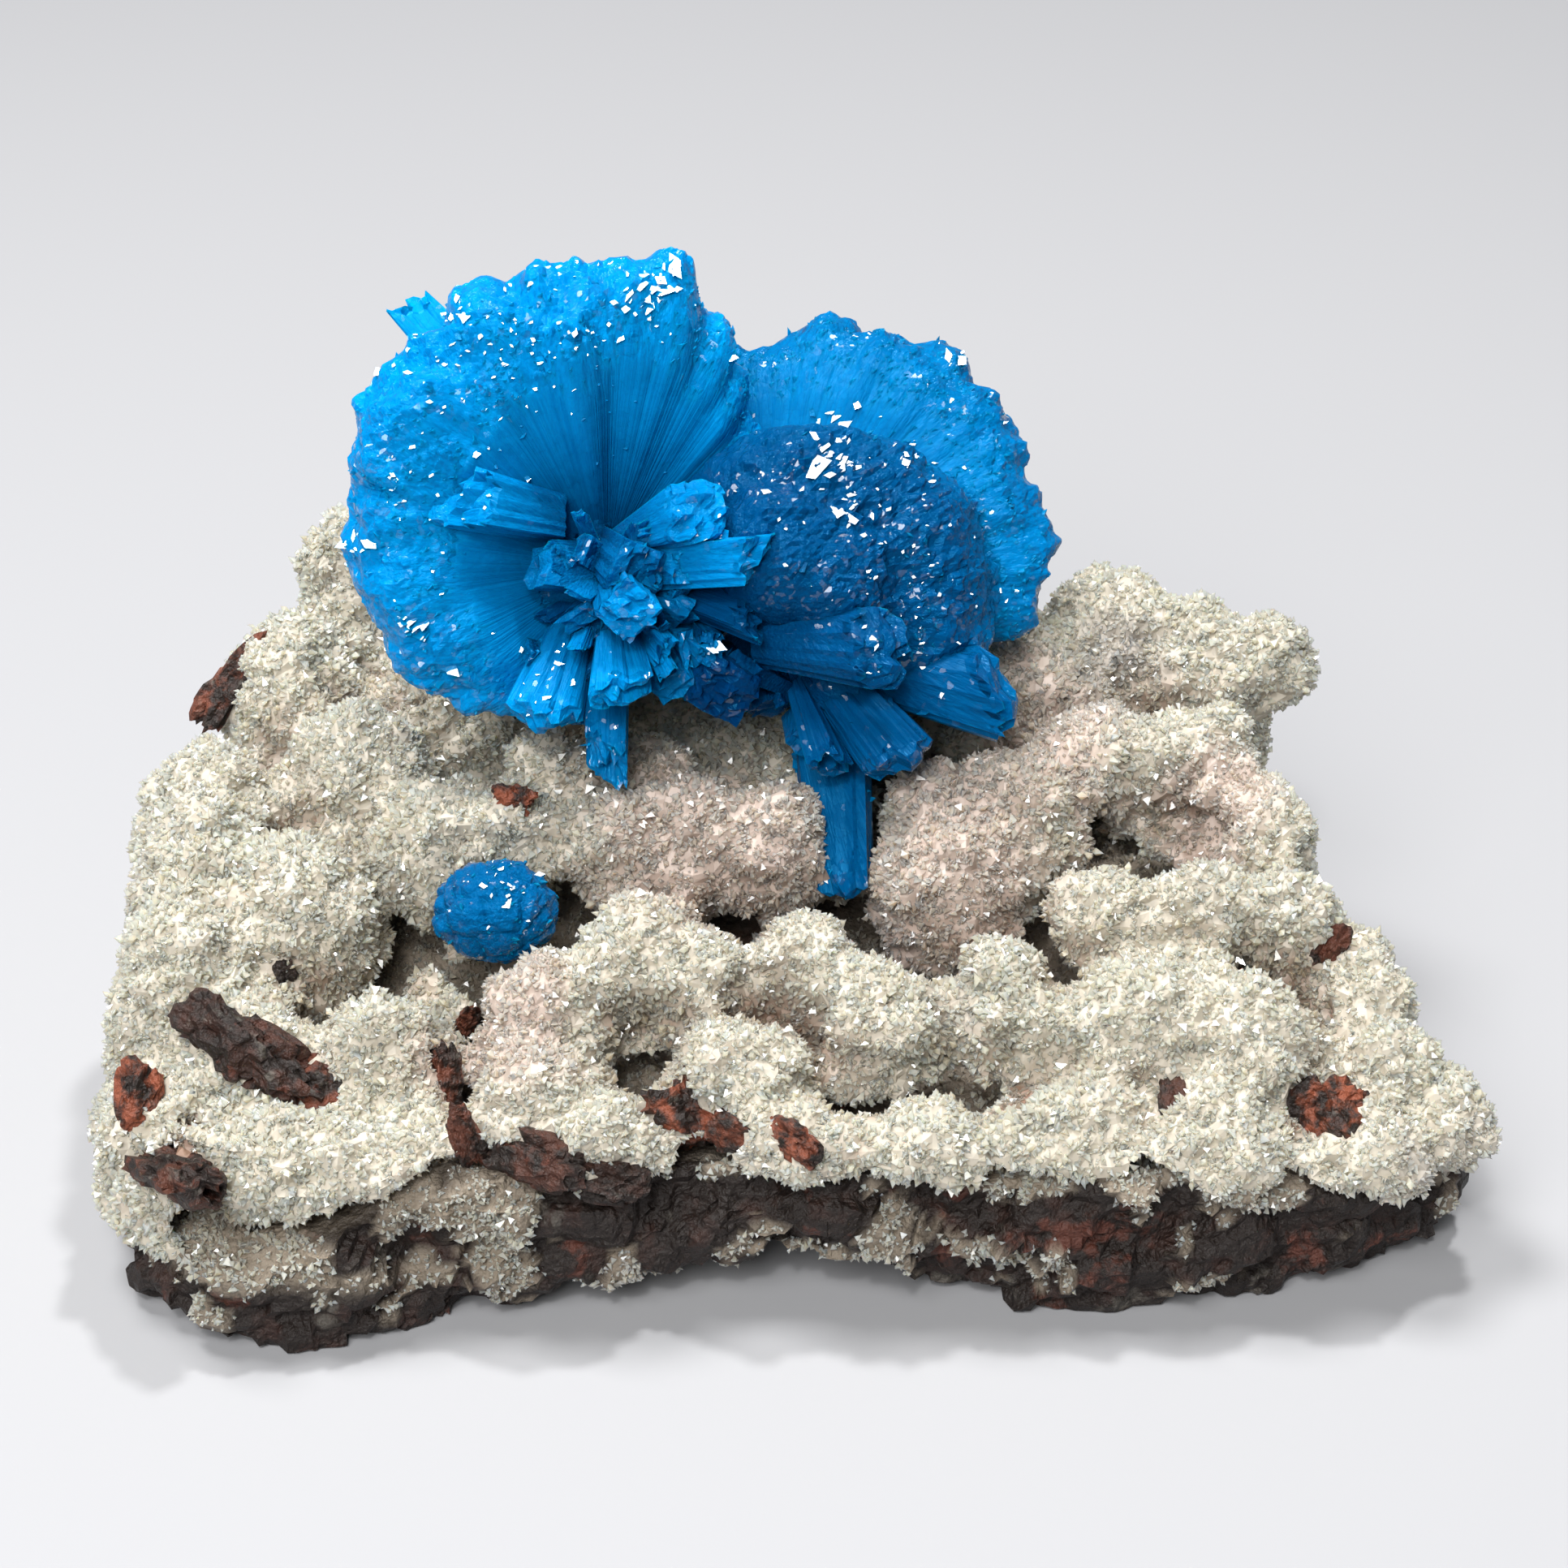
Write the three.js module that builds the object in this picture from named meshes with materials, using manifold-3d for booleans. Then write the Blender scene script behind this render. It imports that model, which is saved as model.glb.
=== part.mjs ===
// A cavansite specimen: two azure rosettes grown into one cluster and a small azure ball,
// on a druse of stilbite that coats a broken piece of basalt.
// Millimetres, +Z up. The show side faces -Y, and the rock rests on z = 0.
import * as THREE from "three";
import { mergeVertices } from "three/addons/utils/BufferGeometryUtils.js";
import Module from "manifold-3d";

const wasm = await Module();
wasm.setup();

const { clamp, degToRad, lerp } = THREE.MathUtils;

// Driving dimensions of the rock
const ROCK_FRONT_Y = -20;
const FRONT_SHELF_Z = 10.8;
const BACK_SHELF_Z = 20.5;
const SHELF_RISE_DEPTH = 24;

// What touches in the real specimen is kept this far apart
const GAP = 0.32;

// The rosettes open towards the viewer, who looks down at them by this much
const SHOW_TILT = degToRad(32);

// A repeatable random value from 0 to 1
function hash(a, b = 0, c = 0) {
  const mixed = Math.sin(a * 127.1 + b * 311.7 + c * 74.7) * 43758.5453;
  return mixed - Math.floor(mixed);
}

function smooth(t) {
  const s = clamp(t, 0, 1);
  return s * s * (3 - 2 * s);
}

// Noise from -1 to 1
function noise(x, y, z, seed) {
  const [i, j, k] = [Math.floor(x), Math.floor(y), Math.floor(z)];
  const [u, v, w] = [smooth(x - i), smooth(y - j), smooth(z - k)];
  const corner = (a, b, c) => hash(i + a + seed * 17.3, j + b, k + c);
  const edge = (b, c) => lerp(corner(0, b, c), corner(1, b, c), u);
  return 2 * lerp(lerp(edge(0, 0), edge(1, 0), v), lerp(edge(0, 1), edge(1, 1), v), w) - 1;
}

// Solids
function solidOf(geometry) {
  geometry.deleteAttribute("normal");
  geometry.deleteAttribute("uv");
  const merged = mergeVertices(geometry, 1e-4);
  return new wasm.Manifold(
    new wasm.Mesh({
      numProp: 3,
      vertProperties: merged.attributes.position.array,
      triVerts: new Uint32Array(merged.index.array),
    }),
  );
}

function moveVertices(geometry, place) {
  const position = geometry.attributes.position;
  const point = new THREE.Vector3();
  for (let i = 0; i < position.count; i += 1) {
    point.fromBufferAttribute(position, i);
    place(point);
    position.setXYZ(i, point.x, point.y, point.z);
  }
  return geometry;
}

function joined(solids) {
  return solids.reduce((sum, solid) => sum.add(solid));
}

// A boolean cut can leave crumbs, so only the main body is kept
function mainBody(solid) {
  return solid.decompose().reduce((most, body) => (body.volume() > most.volume() ? body : most));
}

function meshOf(solid, name, material) {
  const made = solid.getMesh();
  const geometry = new THREE.BufferGeometry();
  const points = new Float32Array(made.vertProperties);
  geometry.setAttribute("position", new THREE.BufferAttribute(points, 3));
  geometry.setIndex(new THREE.BufferAttribute(new Uint32Array(made.triVerts), 1));
  const mesh = new THREE.Mesh(geometry, material);
  mesh.name = name;
  return mesh;
}

// A rough rounded lump, with knobs of its own
function lump({ at, radii, rough = 0.1, knobs = 2.2, detail = 3, seed = 1 }) {
  const geometry = new THREE.IcosahedronGeometry(1, detail);
  moveVertices(geometry, (p) => {
    p.multiplyScalar(1 + rough * noise(p.x * knobs + 5, p.y * knobs + 5, p.z * knobs + 5, seed));
    p.set(p.x * radii[0], p.y * radii[1], p.z * radii[2]);
  });
  geometry.translate(...at);
  return solidOf(geometry);
}

// Plan outline of the broken rock, from the right tip anticlockwise as seen from above
const OUTLINE = [
  [34.5, -12],
  [31.5, -4.5],
  [27.5, 3],
  [26.5, 11],
  [19, 17.5],
  [8, 19.5],
  [-6, 20],
  [-18, 20],
  [-26, 17],
  [-30, 9],
  [-33, 0],
  [-34, -9],
  [-32.5, -17],
  [-27, -21],
  [-20, -20.8],
  [-10, -19.6],
  [3, -19.6],
  [14, -20.2],
  [23, -19.4],
  [30, -16.6],
];
const outlineCurve = new THREE.CatmullRomCurve3(
  OUTLINE.map(([x, y]) => new THREE.Vector3(x, y, 0)),
  true,
  "centripetal",
);
const OUTLINE_STEPS = 360;
const outlinePoints = outlineCurve.getSpacedPoints(OUTLINE_STEPS);

// The druse rises like a ramp from the front edge to the back
function shelf(y) {
  return lerp(FRONT_SHELF_Z, BACK_SHELF_Z, smooth((y - ROCK_FRONT_Y) / SHELF_RISE_DEPTH));
}

// Basalt
const BASALT_COLUMNS = 62;
const BASALT_LEVELS = 6;
const BASALT_ROUGH = 1.6;
const BASALT_SEED = 2;
const BASALT_INSET = 1;
const UNDERCUT = 1.6;
const UNDERCUT_SHARE = 0.4;
const SHOULDER_INSET = 0.8;
const SHOULDER_SHARE = 0.7;
const JAG = 0.4;
const BASALT_HOLLOW_Z = 9.5;

// The rock's upper side lies this far below the crust's, and less near the front edge
const CRUST_AT_FRONT = 1.5;
const CRUST_FARTHER_BACK = 4.5;
const CRUST_THICKENS_OVER = 9;
const TOP_RELIEF = 0.5;
const TOP_RELIEF_SIZE = 5;

// The foot at the front left stands out past the undercut
const FOOT = { x: -26.5, y: -21, reach: 7.5, out: 3, share: 0.75 };

// The arch between the two feet at the front
const ARCH = { at: [-2, -23, -1.2], radii: [12.5, 11, 5], rough: 0.12, detail: 2, seed: 31 };

function basaltTop(x, y) {
  const depth = CRUST_AT_FRONT + CRUST_FARTHER_BACK * smooth((y - ROCK_FRONT_Y) / CRUST_THICKENS_OVER);
  return shelf(y) - depth + TOP_RELIEF * noise(x / TOP_RELIEF_SIZE, y / TOP_RELIEF_SIZE, 0, 4);
}

// How far the broken side of the rock lies inside the outline at a share of its height
function basaltInset(edge, column, level) {
  const share = level / BASALT_LEVELS;
  const undercut = UNDERCUT * (1 - smooth(share / UNDERCUT_SHARE));
  const shoulder = SHOULDER_INSET * smooth((share - SHOULDER_SHARE) / (1 - SHOULDER_SHARE));
  const ledge = BASALT_ROUGH * (hash(column, level, BASALT_SEED) - 0.5);
  const footAway = Math.hypot(edge.x - FOOT.x, edge.y - FOOT.y) / FOOT.reach;
  const foot = FOOT.out * Math.exp(-footAway * footAway) * (1 - smooth(share / FOOT.share));
  return BASALT_INSET + undercut + shoulder + ledge - foot;
}

function basaltBody(grow = 0) {
  const geometry = new THREE.CylinderGeometry(1, 1, 1, BASALT_COLUMNS, BASALT_LEVELS);
  const edges = outlineCurve.getSpacedPoints(BASALT_COLUMNS);
  moveVertices(geometry, (p) => {
    const level = Math.round((p.y + 0.5) * BASALT_LEVELS);
    const onAxis = Math.hypot(p.x, p.z) < 1e-6;
    const turn = Math.atan2(p.x, p.z) / (2 * Math.PI);
    const column = (Math.round(turn * BASALT_COLUMNS) + BASALT_COLUMNS) % BASALT_COLUMNS;
    const edge = edges[column];
    const out = onAxis ? 0 : 1 - (basaltInset(edge, column, level) - grow) / edge.length();
    const [x, y] = [edge.x * out, edge.y * out];
    const between = level > 0 && level < BASALT_LEVELS;
    const jag = between ? JAG * BASALT_ROUGH * (hash(level, column, BASALT_SEED + 3) - 0.5) : 0;
    const top = onAxis ? BASALT_HOLLOW_Z : basaltTop(x, y);
    p.set(x, y, lerp(-grow, top + grow, level / BASALT_LEVELS) + jag);
  });
  return solidOf(geometry).subtract(lump(ARCH));
}

// Druse of stilbite

// Lumps: x, y, how far each stands above the ramp, and its three radii
const LUMP_ROWS = [
  // the back left, up to the horn beside the left rosette
  [-23.6, 17, 5.2, 3.6, 3.6, 8],
  [-26.4, 12, 1.2, 4.4, 6, 6.5],
  [-29.5, 1.5, -0.6, 4.8, 6.5, 6.5],
  [-22, 4, 0.2, 5, 6, 5],
  [-17.5, 12, -1, 6, 5.5, 5],
  // the broad left flank
  [-29.4, -8, 1.6, 5.2, 6, 8],
  [-29, -2.5, 0.8, 5.2, 6, 8],
  [-24.5, -4.5, 0.6, 5.2, 5.2, 5.5],
  [-26.5, -12, 0.5, 5.6, 5, 6.2],
  [-31, -14.5, -1, 3.2, 4, 5.5],
  [-19.8, -12.3, 1, 4, 3.8, 4.4],
  [-23.5, -17, 0, 4.6, 3.9, 3.6],
  [-18.5, -17.6, -0.4, 3.8, 3.2, 3.4],
  // under the left rosette
  [-17.5, -1.2, 0.2, 4, 3.8, 4],
  [-13.8, -2.4, 0.6, 3.1, 2.5, 3.4],
  [-12, 1, 0.4, 3.2, 2.6, 3.2],
  // the long lump in the middle, and what lies behind it
  [-7.8, -2.2, 0.5, 3.9, 2.8, 3.8],
  [-4.2, -2, 1.1, 4, 3, 4.1],
  [-0.3, -2, 0.7, 3.3, 3, 3.9],
  [-7, 3.4, -1, 3.4, 3.2, 3],
  [-2, 8, -3, 8, 6, 4],
  // right of the cleft
  [8.6, -3.4, 0.8, 4.6, 4.2, 4.4],
  [7.4, -0.4, 0.4, 3.2, 3.4, 4],
  [11.6, -0.4, 0.9, 4.6, 4, 4.4],
  // the high mass at the back right, with its nose
  [13, 9, 2, 5.4, 5.6, 6],
  [17.4, 13, 3.2, 5.6, 5, 7],
  [22, 11, 2.6, 4.8, 4.8, 6.4],
  [25.8, 10, 2.6, 2.4, 2.6, 3],
  [17, 2.6, 0.9, 5, 2.9, 3],
  [21.8, 3.4, 0.9, 3, 2.6, 2.8],
  [24.6, -0.6, -0.6, 3.2, 4.6, 5.4],
  [8, 15, -0.6, 7, 4.6, 4.4],
  [-6, 15, -1, 9, 4.6, 4.4],
  // the long low ridge on the right
  [16.2, -6.8, 1.5, 4, 2.6, 2.9],
  [20.8, -6.6, 1.9, 4.2, 2.6, 3],
  [25, -6.4, 1, 3.8, 3, 3.2],
  // the right flank, down to the tip
  [28.8, -8, -1, 3.2, 4.2, 4.6],
  [29.4, -12, -1, 3.6, 3.6, 4],
  [32.6, -13.6, -2.2, 3.2, 2.9, 3],
  [28, -16.6, -0.6, 3.8, 3.4, 3.9],
  // the front row, from left to right
  [-7, -8, 1.7, 4, 3.8, 4],
  [-11.5, -11, 1.9, 4.2, 3.8, 4.4],
  [-12.2, -15, 1.5, 5, 4.4, 5],
  [-8.8, -17.6, 0.9, 5, 3.3, 4],
  [-2.2, -14.3, 2.1, 4.2, 3.2, 3.6],
  [-3.4, -9.6, 0.9, 3.2, 3.2, 3.6],
  [1.6, -8.8, 1.6, 3.3, 3.1, 3.5],
  [5, -11.4, 2.1, 3.7, 3.5, 3.9],
  [10.6, -9.9, 1.5, 3, 2.8, 3.3],
  [11.2, -12.4, 1.4, 2.6, 2.4, 3],
  [17.2, -11.8, 2.4, 5.2, 4.2, 4.8],
  [22.6, -12.4, 2, 4.4, 4.2, 4.6],
  [1, -17.8, 0.5, 4.6, 2.9, 3],
  [7, -17.8, 0.9, 4.6, 2.9, 3.3],
  [13.6, -17, 0.9, 4.6, 3.2, 3.6],
  [20.6, -17, 0.7, 4.6, 3.4, 3.7],
];

// The lumps sink into each other, so each one is a little smaller than it looks
const LUMP_LIFT = 0.5;
const LUMP_WIDTH = 0.92;
const LUMP_DEPTH = 0.9;
const LUMPS = LUMP_ROWS.map(([x, y, rise, rx, ry, rz]) => ({
  at: [x, y, shelf(y) + rise + LUMP_LIFT - rz],
  radii: [rx * LUMP_WIDTH, ry * LUMP_DEPTH, rz],
}));

// Crust that hangs down over the left end and the right front
const DRAPES = [
  { at: [-32, -12, 5.5], radii: [2.6, 5.5, 5] },
  { at: [-29, -18.6, 6.8], radii: [4.6, 2.6, 3.4] },
  { at: [-32, -2, 7.5], radii: [2.6, 7, 6] },
  { at: [-21, -19.6, 6.8], radii: [5, 2, 3] },
  { at: [28.5, -17.6, 6], radii: [3.6, 2.6, 3.6] },
  { at: [31.6, -12, 6.4], radii: [3, 3.6, 3.4] },
];

// Dark hollows between the lumps
const PITS = [
  { at: [-18.8, -7.2, 15.6], radii: [1.6, 2.2, 4.4] },
  { at: [-14, -6.6, 18], radii: [4, 2.7, 3.8] },
  { at: [-1, -11.8, 14.5], radii: [2.1, 1.6, 4.4] },
  { at: [2.8, -15.2, 12.8], radii: [2, 1.7, 3.8] },
  { at: [10.4, -14.6, 13], radii: [2.2, 1.5, 3.4] },
  { at: [8.4, -7.6, 16.8], radii: [2.2, 1.5, 3.8] },
  { at: [-4, -5.6, 18], radii: [4.6, 1.3, 3.8] },
  { at: [18.6, -2, 19.4], radii: [4.8, 2.6, 5] },
  { at: [19.6, 1.2, 22], radii: [1.5, 1.2, 2] },
  { at: [-15.6, -14.4, 12.8], radii: [1.2, 2.8, 3.8] },
  { at: [3.4, 0.4, 17], radii: [2, 3.2, 5] },
  { at: [-20.4, -1, 20], radii: [1.5, 3.4, 2.6] },
  { at: [22, -9.4, 16.6], radii: [4, 1, 2.4] },
  { at: [26.4, -14.4, 12.4], radii: [1.6, 2.2, 2.6] },
];

// About how far a point is outside an ellipsoid, negative inside it
function outside(p, { at, radii }) {
  const [x, y, z] = [(p.x - at[0]) / radii[0], (p.y - at[1]) / radii[1], (p.z - at[2]) / radii[2]];
  return (Math.hypot(x, y, z) - 1) * Math.min(...radii);
}

// Knobs on the lumps and on the walls of the pits
const KNOB_RELIEF = 0.45;
const KNOB_SIZE = 2.6;

function inDruse(p) {
  const knobs = KNOB_RELIEF * noise(p.x / KNOB_SIZE, p.y / KNOB_SIZE, p.z / KNOB_SIZE, 9);
  const held = [...LUMPS, ...DRAPES].some((row) => outside(p, row) < knobs);
  return held && !PITS.some((row) => outside(p, row) < knobs);
}

// How far the outline lies from the middle of the rock in one direction
function outlineReach(angle) {
  const off = (p) => Math.atan2(p.y, p.x) - angle;
  const miss = (p) => Math.hypot(Math.cos(off(p)) - 1, Math.sin(off(p)));
  return outlinePoints.reduce((best, p) => (miss(p) < miss(best) ? p : best)).length();
}

// The lower edge of the crust hangs lowest at the two ends
function crustEdge(x, y) {
  const front = lerp(4.6, 8.4, smooth((x + 28) / 14)) - 3 * smooth((x - 22) / 9);
  return lerp(front, 11, smooth((y + 6) / 16));
}

// The blanket's grid, and the rays on which its points settle: from their bases under the crust,
// the middle ones point up and a little forward, and those of the rim sweep out and down
const DRUSE_ACROSS = 46;
const DRUSE_DEEP = 29;
const PROBE_STEPS = 46;
const PROBE_LENGTH = 11.5;
const THIN_CRUST = 0.4;
const HALF_WIDTH = 35;
const HALF_DEPTH = 20;
const RIM_START = 0.8;
const RIM_WIDTH = 0.05;
const RIM_DENSITY = 0.3;
const RIM_SWEEP = degToRad(112);
const RIM_LIFT = 1.5;
const FORWARD_LEAN = 0.3;
const BASE_UNDER_SHELF = 3.6;

// The blanket's underside, which the rock then cuts away
const UNDERSIDE_WIDTH = 0.86;
const UNDERSIDE_DROP = 3;
const UNDERSIDE_SAG = 2;

// Each point rests where its neighbourhood does, which is this share of a grid step away
const BLUR_STEP = 0.45;

function settlingRay(u, v) {
  const even = Math.min(Math.max(Math.abs(u), Math.abs(v)), 1);
  const share = even + (RIM_DENSITY * Math.sin(Math.PI * even)) / Math.PI;
  const outward = new THREE.Vector3(u * HALF_WIDTH, v * HALF_DEPTH, 0).normalize();
  const reach = outlineReach(Math.atan2(outward.y, outward.x));
  const rim = clamp((share - RIM_START) / (1 - RIM_START), 0, 1);
  const held = Math.min(share, RIM_START) + RIM_WIDTH * rim;
  const base = outward.clone().multiplyScalar(reach * held);
  base.z = lerp(shelf(base.y) - BASE_UNDER_SHELF, crustEdge(base.x, base.y) + RIM_LIFT, rim);
  const direction = new THREE.Vector3(0, -FORWARD_LEAN * (1 - rim), Math.cos(RIM_SWEEP * rim));
  direction.addScaledVector(outward, Math.sin(RIM_SWEEP * rim)).normalize();
  return { base, direction, rim };
}

// How far out along its ray a point comes to rest on the lumps
function restOn(u, v) {
  const { base, direction } = settlingRay(u, v);
  const probe = new THREE.Vector3();
  let along = PROBE_LENGTH;
  while (along > THIN_CRUST && !inDruse(probe.copy(base).addScaledVector(direction, along))) {
    along -= PROBE_LENGTH / PROBE_STEPS;
  }
  return along;
}

// The rest of a point, blurred with those of its eight neighbours
function blurredRest(u, v) {
  const [du, dv] = [(2 * BLUR_STEP) / DRUSE_ACROSS, (2 * BLUR_STEP) / DRUSE_DEEP];
  let along = 0;
  for (const i of [-1, 0, 1]) {
    for (const j of [-1, 0, 1]) {
      along += (restOn(u + i * du, v + j * dv) * (2 - Math.abs(i)) * (2 - Math.abs(j))) / 16;
    }
  }
  return along;
}

// A closed blanket, whose top is a grid that comes in from far out until it meets the lumps
function druseSkin() {
  const geometry = new THREE.BoxGeometry(2, 2, 2, DRUSE_ACROSS, DRUSE_DEEP, 1);
  return moveVertices(geometry, (p) => {
    const { base, direction, rim } = settlingRay(p.x, p.y);
    if (p.z < 0) {
      const drop = UNDERSIDE_DROP + UNDERSIDE_SAG * (1 - rim);
      p.set(base.x * UNDERSIDE_WIDTH, base.y * UNDERSIDE_WIDTH, base.z - drop);
    } else {
      const along = blurredRest(p.x, p.y);
      p.copy(base).addScaledVector(direction, along);
    }
  });
}

function druseBody(cluster, ball) {
  return mainBody(solidOf(druseSkin()).subtract(basaltBody(GAP)).subtract(cluster).subtract(ball));
}

// Cavansite

// The viewer's directions
const RIGHTWARD = new THREE.Vector3(1, 0, 0);
const UPWARD = new THREE.Vector3(0, Math.sin(SHOW_TILT), Math.cos(SHOW_TILT));
const TOWARDS = new THREE.Vector3(0, -Math.cos(SHOW_TILT), Math.sin(SHOW_TILT));

// A step given as the viewer sees it: right, up and nearer
function viewStep(right, up, near) {
  const step = RIGHTWARD.clone().multiplyScalar(right);
  return step.addScaledVector(UPWARD, up).addScaledVector(TOWARDS, near);
}

// A direction by its clock angle, 0 right and 90 up, and its lean towards the viewer
function aim(clock, lean) {
  const [c, l] = [degToRad(clock), degToRad(lean)];
  return viewStep(Math.cos(c) * Math.cos(l), Math.sin(c) * Math.cos(l), Math.sin(l));
}

// Sheaves of blades by clock angle, lean, length and half spread: [clock, lean, length, spread]
const LEFT_HEART = [-9, 6, 27.9];
const LEFT_SHEAVES = [
  // the open fan, from the right over the top to the lower left
  [38, -20, 10, 18],
  [56, 2, 12.4, 12],
  [76, 16, 16, 12],
  [96, 20, 15.8, 16],
  [120, 22, 15.4, 17],
  [146, 26, 15, 18],
  [174, 24, 13.6, 19],
  [203, 24, 12.4, 18],
  [232, 16, 9.8, 16],
  // the spike at the upper left, and the ridge that runs up from the heart
  [126, -4, 16.7, 5],
  [98, 34, 14.2, 8],
  // what fills the heart
  [200, 48, 4.4, 34],
  [290, 40, 5.2, 30],
  [-20, 40, 4.8, 30],
  // the back
  [55, -42, 12.5, 26],
  [105, -36, 13.5, 26],
  [155, -34, 12, 26],
  [210, -36, 11, 26],
  [90, -78, 11.5, 32],
];

// Blocks of blades: where each starts and ends as the viewer sees it from the heart (right, up,
// nearer), its width and thickness, its turn, and its width at the start as a share
const LEFT_BLOCKS = [
  // the block at the left and the two on the right
  { start: [-2.6, 2.2, 3.2], end: [-6.8, 2.9, 7.4], size: [2.9, 2.6], turn: 12, flare: 0.8 },
  { start: [0.6, 0.8, 2.2], end: [5.2, 2.4, 6.8], size: [3.2, 2.2], turn: -20, flare: 0.4 },
  { start: [3, -0.2, 3.4], end: [7.7, -0.1, 6.8], size: [2.3, 2.6], turn: 10, flare: 0.95 },
  // the dark body in the heart, the glassy cube and a small one on its left
  { start: [0.6, 0.4, 2], end: [1.9, -0.8, 6], size: [2.9, 2.8], turn: 20, flare: 0.8 },
  { start: [0.9, -1.4, 3.4], end: [1.5, -2.7, 7.6], size: [2.5, 2.3], turn: 25, flare: 0.9 },
  { start: [-1, 0.3, 2], end: [-2.2, 0, 5], size: [1.5, 1.3], turn: 30, flare: 0.8 },
  // the feet
  { start: [-1.4, -2.2, 1.4], end: [-3.1, -8.2, 4.8], size: [3.8, 3], turn: 0, flare: 0.55 },
  { start: [0.5, -2.2, 2.6], end: [1.1, -6.8, 6.6], size: [3.2, 1.9], turn: -15, flare: 0.45 },
  { start: [0.1, -4, 1.4], end: [0.2, -9.8, 3.6], size: [2, 1.7], turn: 0, flare: 1.1 },
  { start: [1.4, -2.8, 3], end: [3.2, -4.6, 5.6], size: [1.5, 0.9], turn: 35, flare: 0.8 },
  { start: [2.3, -3.8, 3.4], end: [3.3, -5.6, 5.8], size: [1, 0.8], turn: 20, flare: 0.8 },
  // in the cleft between the rosettes
  { start: [1, -0.6, -1.5], end: [4.8, -5, 2.2], size: [5, 3], turn: 0, flare: 0.7 },
  { start: [3.2, -1.4, 2.2], end: [7.4, -2.8, 5], size: [2.2, 1.4], turn: -25, flare: 0.6 },
  { start: [4.4, -3.2, 1.4], end: [5.4, -4.4, 4.8], size: [1.5, 1.1], turn: 40, flare: 0.9 },
  { start: [4.8, -4.4, 0.6], end: [6.2, -6.6, 4.6], size: [2.9, 2.8], turn: 30, flare: 0.8 },
];

const RIGHT_HEART = [-0.7, 7, 25.4];
const RIGHT_SHEAVES = [
  // the tall fan behind
  [96, -14, 13.6, 11],
  [78, -12, 15, 13],
  [58, -8, 16, 13],
  [38, -4, 15.8, 13],
  [18, 2, 14.6, 13],
  [-2, 4, 13.8, 12],
  // the dome in front
  [128, 30, 7.6, 22],
  [95, 34, 9.2, 26],
  [60, 32, 10.4, 28],
  [22, 26, 11.8, 28],
  [-14, 24, 12, 22],
  [75, 70, 9.4, 34],
  [20, 58, 9.8, 32],
  // under the dome
  [-50, 24, 9, 22],
  [-92, 22, 6.4, 24],
  [240, 20, 5.6, 22],
  // the back
  [30, -40, 13, 27],
  [80, -40, 12.5, 26],
  [-22, -36, 11, 24],
  [100, -78, 11.5, 30],
];

const RIGHT_BLOCKS = [
  // the blocks at the lower right
  { start: [-0.4, -2.4, 4.8], end: [6.2, -2.9, 9], size: [4, 2.6], turn: 0, flare: 0.6 },
  { start: [4.6, -3.4, 3], end: [11.8, -5.2, 6], size: [4.3, 3.6], turn: 10, flare: 0.7 },
  { start: [3.2, -4.2, 2.8], end: [6.8, -8.6, 6.4], size: [3.6, 2.8], turn: -10, flare: 0.8 },
  { start: [1.4, -4.2, 2.4], end: [3, -8.4, 5.6], size: [1.7, 2.2], turn: 20, flare: 0.5 },
  // the stalk in the cleft
  { start: [3, -4, 0.8], end: [3.6, -14.4, 3.2], size: [3.2, 2.4], turn: 10, flare: 1.3 },
];

// The outer blades of a sheaf are shorter, so it ends in a dome
const OUTER_BLADES = 0.74;
const MIDDLE_BLADES = 0.95;
const MIDDLE_SPREAD = 0.55;

// Flutes along a sheaf, one for each so many degrees of spread, and how uneven its blades are
const FLUTE_STEP = 5.6;
const FLUTE_IN = 0.9;
const FLUTE_OUT = 1.07;
const UNEVEN_BLADES = 0.12;

// Half the section of a sheaf. When it grows, all its faces move out by the same distance
function sheafProfile(length, half, grow) {
  const at = (along, angle) => new THREE.Vector2(Math.sin(angle), Math.cos(angle)).multiplyScalar(along);
  const corner = at(length * OUTER_BLADES, half);
  corner.addScaledVector(at(1, half + Math.PI / 2), grow).addScaledVector(at(1, half), grow);
  return [
    new THREE.Vector2(0, -grow / Math.sin(half)),
    corner,
    at(length * MIDDLE_BLADES + grow, half * MIDDLE_SPREAD),
    new THREE.Vector2(0, length + grow),
  ];
}

// One sheaf: a fluted cone of blades from the heart. The seeded flutes stand for single crystals
function sheaf(heart, [clock, lean, length, spread], seed, grow) {
  const segments = 2 * Math.max(4, Math.round(spread / FLUTE_STEP));
  const geometry = new THREE.LatheGeometry(sheafProfile(length, degToRad(spread), grow), segments);
  moveVertices(geometry, (p) => {
    if (Math.hypot(p.x, p.z) < 1e-6) return;
    const turn = Math.atan2(p.x, p.z) / (2 * Math.PI);
    const column = (Math.round(turn * segments) + segments) % segments;
    const ring = p.y > length * (OUTER_BLADES + MIDDLE_BLADES) * 0.5 ? 2 : 1;
    const flute = column % 2 ? FLUTE_IN : FLUTE_OUT;
    const blade = 1 + UNEVEN_BLADES * (hash(column, ring, seed) - 0.5);
    p.set(p.x * flute * blade, p.y * blade, p.z * flute * blade);
  });
  const turned = new THREE.Quaternion().setFromUnitVectors(new THREE.Vector3(0, 1, 0), aim(clock, lean));
  return solidOf(geometry.applyQuaternion(turned).translate(...heart));
}

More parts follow.
